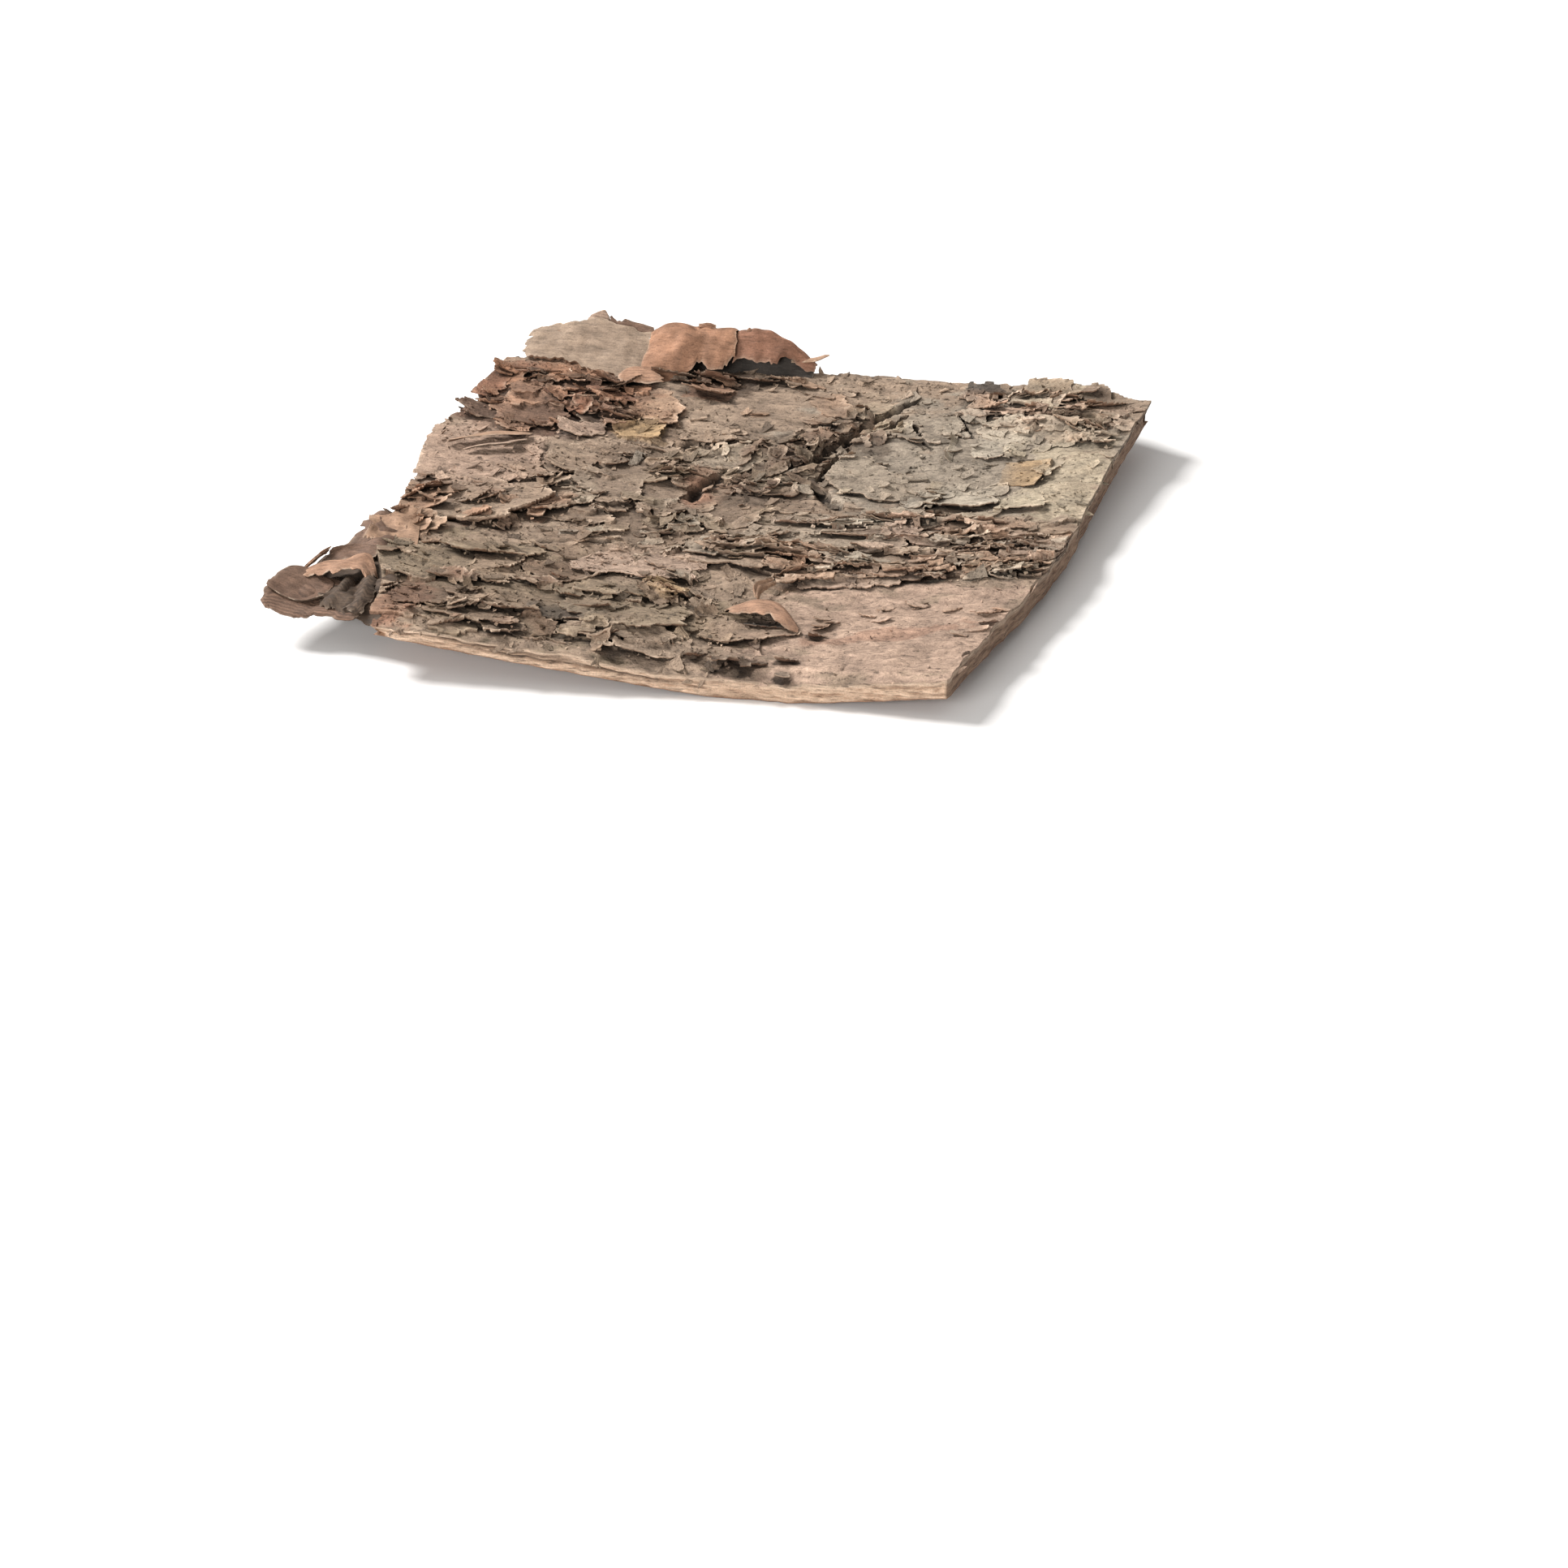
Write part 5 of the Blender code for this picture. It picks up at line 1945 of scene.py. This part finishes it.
BACK_SHEETS = (
    # The smooth pinkish sheet that slopes up behind the chips, with its spike.
    PaperySheet(
        (
            ((20, 104.6, 0.3), (13, 106.8, 0.2), (7.5, 108.6, 0.6), (2, 108.6, 0.6), (-2.6, 110.2, 0.0)),
            ((22.5, 108.5, 1.2), (14, 110.6, 1.6), (8, 111.6, 2.0), (2.5, 111.8, 1.7), (-2.7, 112.4, 0.7)),
            ((24, 113, 2.8), (14, 114.4, 3.8), (8, 115, 4.1), (2.5, 115, 3.2), (-2.0, 115, 1.7)),
            ((24, 117.0, 4.9), (14, 117.6, 5.5), (8.5, 118, 5.7), (3.5, 117.6, 4.1), (-0.8, 117.2, 2.7)),
        ),
        Tone.GREY_TAN, ragged=0.05, ends=0.05, worn_root=0.06, crumple=0.25, under=Tone.INNER, cells=(90, 60),
        pale=0.35,
    ),
    PaperySheet(
        (
            ((12.8, 117.0, 4.8), (10.5, 117.2, 5.2), (8.0, 117.2, 5.0)),
            ((12.8, 118.4, 5.6), (10.8, 118.8, 6.4), (9.0, 118.4, 6.0)),
            ((12.3, 118.8, 6.3), (11.6, 119.3, 7.2), (10.6, 119.0, 6.9)),
        ),
        Tone.PINK_TAN, ragged=0.03, ends=0.04, thickness=0.4, cells=(24, 18), pale=0.3,
    ),
    PaperySheet(
        (
            ((21, 116.6, 4.2), (17, 117.4, 4.6), (12.5, 117.6, 4.9)),
            ((21, 118.2, 5.0), (17, 118.8, 5.6), (12.5, 119.0, 6.0)),
        ),
        Tone.BROWN, ragged=0.3, ends=0.03, thickness=0.35, cells=(50, 10), under=Tone.UMBER, pale=0.2,
    ),
    # The brown lobe at the foot of the sheet.
    PaperySheet(
        (
            ((17.2, 108.2, 1.0), (20, 108.4, 1.8), (24, 107.6, 1.4)),
            ((17.0, 105, 1.4), (20.4, 105.8, 2.2), (25, 106, 1.7)),
            ((17.8, 101.6, 1.1), (21, 103.0, 1.7), (25.6, 104.8, 1.4)),
        ),
        Tone.WARM_TAN, ragged=0.06, ends=0.05, thickness=0.4, under=Tone.UMBER, cells=(40, 26),
    ),
    # The orange flap that stands up along the back edge and hangs forward.
    PaperySheet(
        (
            ((19.5, 111, -0.4), (24, 112.6, -0.4), (28, 113.4, -0.4), (32, 113.8, -0.4), (38, 114.2, -0.4)),
            ((20.3, 117.0, 3.2), (24.3, 118.4, 4.6), (28, 118.9, 5.2), (32, 118.9, 5.0), (37, 118.6, 4.2)),
            ((20.6, 116.6, 4.4), (24.8, 117.8, 6.5), (28.5, 118.2, 6.9), (32.5, 118.0, 6.9),
             (36.8, 117.6, 5.9)),
            ((20.4, 113.2, 3.1), (25.3, 113.4, 4.9), (29.2, 115.2, 6.0), (33, 115.6, 6.2),
             (36.8, 115.6, 5.0)),
            ((20.3, 107.6, 1.2), (25.5, 106.4, 0.9), (28.9, 109.8, 1.3), (33.5, 111.6, 2.0),
             (36.9, 112.2, 1.6)),
        ),
        Tone.ORANGE, ragged=0.06, ends=0.02, crumple=0.45, thickness=0.4, under=Tone.CHARCOAL,
        cells=(90, 70), pale=0.3,
    ),
    PaperySheet(
        (
            ((29, 117.8, 6.6), (30.5, 117.9, 6.6), (32.6, 117.8, 6.7)),
            ((29.2, 118.4, 7.3), (30.6, 118.5, 7.4), (32.4, 118.4, 7.4)),
        ),
        Tone.ORANGE, ragged=0.08, ends=0.04, thickness=0.4, cells=(18, 8),
    ),
    # Its redder second lobe, with a spike and the long thin tail.
    PaperySheet(
        (
            ((35.5, 114.4, -0.4), (40, 114.8, -0.4), (44, 115, -0.4), (48, 115.2, -0.3), (51, 115.4, 0)),
            ((35.8, 118.2, 3.8), (40, 118.7, 5.0), (44, 118.6, 4.6), (48, 118.0, 2.8), (51, 117.4, 1.8)),
            ((35.9, 117.8, 5.6), (40.2, 118.2, 7.0), (44, 118.1, 6.4), (48, 117.6, 3.8), (51.4, 117, 2.4)),
            ((35.9, 116, 4.6), (40.5, 116.3, 4.9), (44.2, 116.6, 4.3), (48, 117, 2.7), (51.4, 116.6, 2.2)),
            ((36.2, 112.4, 1.5), (41, 113.2, 0.8), (44.6, 114.2, 0.7), (48.3, 115.4, 0.6),
             (51.4, 116.0, 1.0)),
        ),
        Tone.RUST, ragged=0.06, ends=0.02, crumple=0.45, thickness=0.4, under=Tone.CHARCOAL, cells=(70, 60),
        pale=0.25,
    ),
    PaperySheet(
        (
            ((37.6, 117.6, 6.0), (38.4, 117.7, 6.4), (39.6, 117.7, 6.3)),
            ((38.2, 118.0, 7.2), (38.6, 118.1, 7.6), (39.0, 118.0, 7.3)),
        ),
        Tone.RUST, ragged=0.03, ends=0.04, thickness=0.35, cells=(14, 8),
    ),
    PaperySheet(
        (
            ((46.5, 117.3, 2.4), (50.5, 117.2, 2.9), (53.6, 116.9, 4.2)),
            ((46.5, 116.2, 2.2), (50.5, 116.4, 2.6), (53.6, 116.6, 4.1)),
        ),
        Tone.TAN, ragged=0.05, ends=0.03, thickness=0.5, cells=(40, 8), crumple=0.0,
    ),
)
CURLS = (
    # The brown papery flap of the front, standing clear of a dark hollow.
    PaperySheet(
        (
            ((53, 21.4, 0.2), (56, 25.3, 0.2), (60, 26.3, 0.2), (62.6, 24, 0.2), (66, 17.6, 0.1)),
            ((53.6, 20, 1.5), (57, 22, 2.1), (60.5, 22.3, 2.2), (63.2, 20, 1.9), (66.3, 16.8, 0.7)),
            ((54.4, 18.6, 1.8), (58.2, 17.2, 2.4), (61.3, 17.2, 2.3), (63.6, 15.2, 1.7), (66.5, 15.4, 0.4)),
        ),
        Tone.WARM_TAN, ragged=0.1, ends=0.02, crumple=0.12, thickness=0.35, under=Tone.UMBER,
        cells=(60, 36), pale=0.4,
    ),
    # Rolled lips of the split in the left tan layer.
    PaperySheet(
        (
            ((-6.5, 72.2, 0.8), (-3, 75.6, 0.9), (1, 78.6, 0.9), (7.2, 80, 0.8)),
            ((-6.2, 71.4, 1.4), (-2.4, 73.0, 2.0), (1.6, 75.2, 2.0), (7.2, 78.4, 1.2)),
        ),
        Tone.TAN, ragged=0.05, ends=0.03, crumple=0.1, thickness=0.3, cells=(50, 16), pale=0.5,
        under=Tone.BROWN,
    ),
    PaperySheet(
        (
            ((-3.2, 70.4, 0.8), (0, 72.6, 1.0), (3, 74.2, 1.0), (7.0, 77.6, 0.9)),
            ((-3.0, 70.0, 1.0), (0.6, 71.0, 1.8), (4, 72.6, 1.8), (7.0, 76.8, 1.1)),
        ),
        Tone.PINK_TAN, ragged=0.05, ends=0.03, crumple=0.1, thickness=0.3, cells=(50, 16), pale=0.5,
        under=Tone.UMBER,
    ),
    # Small rolls across the front left quarter and the middle.
    PaperySheet(rolled(((57.6, 25.6, 0.6), (57.4, 29, 1.2), (59.6, 32.4, 0.8)),
                       ((-0.7, 0.8), (0.1, 0.8), (0.6, -0.1))),
                Tone.TAN, ragged=0.06, thickness=0.3, cells=(36, 12)),
)
PATCHES_OF_DARK_BITS = ((52, 4.6), (57, 4.0), (62, 3.6), (66, 5.4), (67, 1.8), (69, 15.4))

TOP_LITTER = (
    Litter("small_flakes", 5, (0.7, 2.0), 20, 1.3, 3, (5, 4)),
    Litter("crumbs", 48, (0.22, 0.6), 40, 1.0, 5, (3, 2)),
)
RIM_LITTER = (Litter("edge_fibres", 40, (0.4, 1.1), 40, 2.6, 9, (5, 2)),)


class BarkPiece:
    """The whole piece: slab, stacked flakes, papery sheets and loose matter."""

    CORNER = (93.0, 0.0)  # the slab's right front corner
    MIDDLE = 56.0  # between the front and the back crusts
    SHARP = 38.0  # degrees past which an edge is sharp
    SHEET_SHARP = 50.0
    RIM_POINTS = 150  # on each side

    def __init__(self, node: bpy.types.Object, seed: int = 11) -> None:
        """Finds the design's zero point on the frame and lays out the slab.

        Args:
            node: The slab's node in the frame.
            seed: Seed of every noise and random size.
        """
        points = np.zeros(len(node.data.vertices) * 3)
        node.data.vertices.foreach_get("co", points)
        points = points.reshape(-1, 3) / MM
        corner = points[np.argmax(points[:, 0] - points[:, 1])]
        self.origin = np.array([corner[0] - self.CORNER[0], corner[1] - self.CORNER[1], 0.0])
        self.grain = Grain(seed)
        self.ground = Ground(SlabShape(), self.grain, CRACKS)
        self.slab = BarkSlab(self.ground, self.grain)
        self.weathered = WEATHERED_BARK.material()
        self.pieces: list[bpy.types.Object] = []

    def keep(self, made: bpy.types.Object, instead: bool = False) -> None:
        """Lets a finished piece ride with the bark and logs its faces.

        Args:
            made: The piece.
            instead: True if it stands for the frame's node.
        """
        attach(made, BODY)
        if instead:
            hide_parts(NODE)
        self.pieces.append(made)
        log.info("%s: %d faces", made.name, len(made.data.polygons))

    def build_slab(self) -> None:
        """Builds the slab, whose top has painted shade in the hollows beside the layers that lie on it and
        painted highlight on its crests.
        """
        batch = MeshBatch("bark_slab")
        self.slab.build(batch)
        finishes = [self.weathered, CUT_BAST.material(), INNER_FACE.material()]
        self.keep(batch.make(self.origin, finishes, self.SHARP), instead=True)

    def build_flakes(self) -> None:
        """Stacks the crusts, the large flakes, the outstanding ones and the small ones."""
        layering = Layering(self.ground, self.grain)
        crusts = MeshBatch("crusts")
        back_crusts = MeshBatch("crusts_back")
        for piece in CRUSTS:
            layering.add(piece, back_crusts if piece.centre[1] > self.MIDDLE else crusts)
        for centre in PATCHES_OF_DARK_BITS:
            layering.add(Flake(centre, (1.9, 1.3), 20.0, Tone.UMBER, lift=1.4, own=0.9, jag=0.5), crusts)
        batches = {zone.batch: MeshBatch(zone.batch) for zone in ZONES}
        for zone in ZONES:
            layering.scatter(zone, False, batches[zone.batch])
        outstanding = MeshBatch("outstanding_flakes")
        for piece in OUTSTANDING:
            layering.add(piece, outstanding)
        for zone in ZONES:
            layering.scatter(zone, True, batches[zone.batch])
        self.ground.settle()
        for batch in (crusts, back_crusts, outstanding, *batches.values()):
            self.keep(batch.make(self.origin, [self.weathered], self.SHARP, self.ground), instead=True)

    def build_sheets(self) -> None:
        """Builds the papery sheets and curls."""
        maker = SheetMaker(self.ground, self.grain)
        cork = PAPERY_CORK.material()
        groups = {"corner_sheets": CORNER_SHEETS, "back_sheets": BACK_SHEETS, "curls": CURLS}
        for name, sheets in groups.items():
            batch = MeshBatch(name)
            for sheet in sheets:
                maker.add(sheet, batch)
            self.keep(batch.make(self.origin, [cork], self.SHEET_SHARP), instead=True)

    def _host(
        self, name: str, x: np.ndarray, y: np.ndarray, z: np.ndarray, cover: np.ndarray
    ) -> bpy.types.Object:
        """A grid surface for strewing, with the slab's colours.

        Args:
            name: Its name.
            x: Places along X.
            y: Places along Y.
            z: Heights.
            cover: How densely it is strewn, from 0 to 1.

        Returns:
            The surface.
        """
        batch = MeshBatch(name)
        number = np.arange(x.size).reshape(x.shape)
        points = np.stack([x, y, z], -1).reshape(-1, 3)
        batch.add(points, self.ground.shown_colour(x, y).reshape(-1, 3), [grid_quads(number)])
        host = batch.make(self.origin, [], 180.0)
        layer = host.data.attributes.new("cover", "FLOAT", "POINT")
        layer.data.foreach_set("value", cover.astype(np.float32).ravel())
        return host

    def _top_host(self) -> bpy.types.Object:
        """The top, nearly bare at the right front, in the back dish and on the lichened plate.

        Returns:
            A surface for strewing.
        """
        v, u = np.meshgrid(np.linspace(0.008, 0.985, 130), np.linspace(0.005, 0.992, 126), indexing="ij")
        x, y = self.ground.shape.plan(u, v)
        bare = ease((x - 58) / 8) * ease((36 - y) / 4) * 0.93
        dish = ease(1.5 - np.hypot((x - 50) / 20, (y - 102) / 11)) * 0.75
        lichened = ease(1.5 - np.hypot((x - 84) / 22, (y - 84) / 22)) * 0.5
        drifts = 0.25 + ease(0.5 + 0.8 * Grain.at(self.ground.broad, y, x))
        cover = (1 - bare) * (1 - dish) * (1 - lichened) * drifts
        return self._host("litter_host", x, y, self.ground.height(x, y), cover)

    def _rim_host(self) -> bpy.types.Object:
        """A strip round the rim, most frayed on its torn sides and at its left front corner.

        Returns:
            A surface for strewing.
        """
        up, down = np.linspace(0, 1, self.RIM_POINTS), np.linspace(1, 0, self.RIM_POINTS)
        rim_u, rim_v = np.r_[up * 0, up, up * 0 + 1, down], np.r_[up, up * 0 + 1, down, up * 0]
        x, y = self.ground.shape.plan(rim_u, rim_v)
        centre = np.array([50.0, 56.0])
        away = np.stack([x, y], -1) - centre
        away /= np.linalg.norm(away, axis=-1)[:, None]
        top = self.ground.height(x, y, bare=True)
        rows = [(-0.5, 0.05), (0.05, -0.1), (0.1, -0.9)]
        strip = [(x + away[:, 0] * out, y + away[:, 1] * out, top + rise) for out, rise in rows]
        px, py, pz = (np.array([row[axis] for row in strip]) for axis in range(3))
        loose_side = np.where((rim_v >= 1) | (rim_u <= 0), 1.0, 0.28)
        front_left = np.where((rim_v <= 0) & (rim_u < 0.3), 1.0, 0)
        cover = np.broadcast_to(np.maximum(loose_side, front_left), px.shape)
        return self._host("rim_host", px[::-1], py[::-1], pz[::-1], cover)

    def strew(self) -> None:
        """Strews small flakes and crumbs over the top and fibres along the rims."""
        strewing = Strewing(self.grain)
        tree = strewing.tree()
        loose = LOOSE_CORK.material()
        for host, kinds in ((self._top_host(), TOP_LITTER), (self._rim_host(), RIM_LITTER)):
            for litter in kinds:
                self.keep(strewing.strew(litter, host, tree, loose))
            bpy.data.objects.remove(host)
        bpy.data.node_groups.remove(tree)


@dataclass(frozen=True)
class Studio:
    """Soft studio light and the camera."""

    aim: Triple = (71.5, -24.5, -0.6)  # design millimetres
    azimuth: float = 10.82
    elevation: float = 29.4
    roll: float = -0.5
    distance: float = 0.669
    lens: float = 100.0
    sky: float = 0.47

    def add_softbox(self, name: str, place: Triple, size: float, power: float, target: Vector) -> None:
        """Adds one square soft light.

        Args:
            name: Its name.
            place: Where it stands, in metres.
            size: Its side, in metres.
            power: Its power in watts.
            target: What it points at.
        """
        data = bpy.data.lights.new(name, "AREA")
        data.shape, data.size, data.energy = "SQUARE", size, power
        lamp = bpy.data.objects.new(name, data)
        lamp.location = place
        lamp.rotation_euler = (target - Vector(place)).to_track_quat("-Z", "Y").to_euler()
        bpy.context.scene.collection.objects.link(lamp)

    def build(self, origin: np.ndarray) -> None:
        """Makes the lights, the world and the camera.

        Args:
            origin: The frame place of the design's zero point, in millimetres.
        """
        scene = bpy.context.scene
        middle = Vector((0, 0, 0.005))
        self.add_softbox("key", (-0.8, 0.25, 0.85), 0.36, 21.0, middle)
        self.add_softbox("front", (-0.45, -1.2, 0.45), 0.6, 13.0, middle)
        world = bpy.data.worlds.new("studio")
        world.use_nodes = True
        world.node_tree.nodes["Background"].inputs["Color"].default_value = (1.0, 0.985, 0.97, 1.0)
        world.node_tree.nodes["Background"].inputs["Strength"].default_value = self.sky
        scene.world = world
        scene.view_settings.view_transform = "Standard"
        data = bpy.data.cameras.new("camera")
        data.lens, data.sensor_width, data.clip_start = self.lens, 36.0, 0.01
        camera = bpy.data.objects.new("camera", data)
        azimuth, elevation = math.radians(self.azimuth), math.radians(self.elevation)
        level = math.cos(elevation)
        back = Vector((math.sin(azimuth) * level, -math.cos(azimuth) * level, math.sin(elevation)))
        aim = Vector((np.array(self.aim) + origin) * MM)
        camera.rotation_mode = "QUATERNION"
        camera.location = aim + back * self.distance
        roll = Quaternion((0, 0, 1), math.radians(self.roll))
        camera.rotation_quaternion = (-back).to_track_quat("-Z", "Y") @ roll
        scene.collection.objects.link(camera)
        scene.camera = camera


def main() -> None:
    """Builds the floor, the bark and the studio."""
    logging.basicConfig(level=logging.INFO, format="%(message)s")
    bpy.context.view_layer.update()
    PaleBoard().build()
    bark = BarkPiece(frame["nodes"][NODE])
    bark.build_flakes()
    bark.build_slab()
    bark.build_sheets()
    bark.strew()
    Studio().build(bark.origin)
    log.info("faces in all: %d", sum(len(piece.data.polygons) for piece in bark.pieces))


if __name__ == "__main__":
    main()
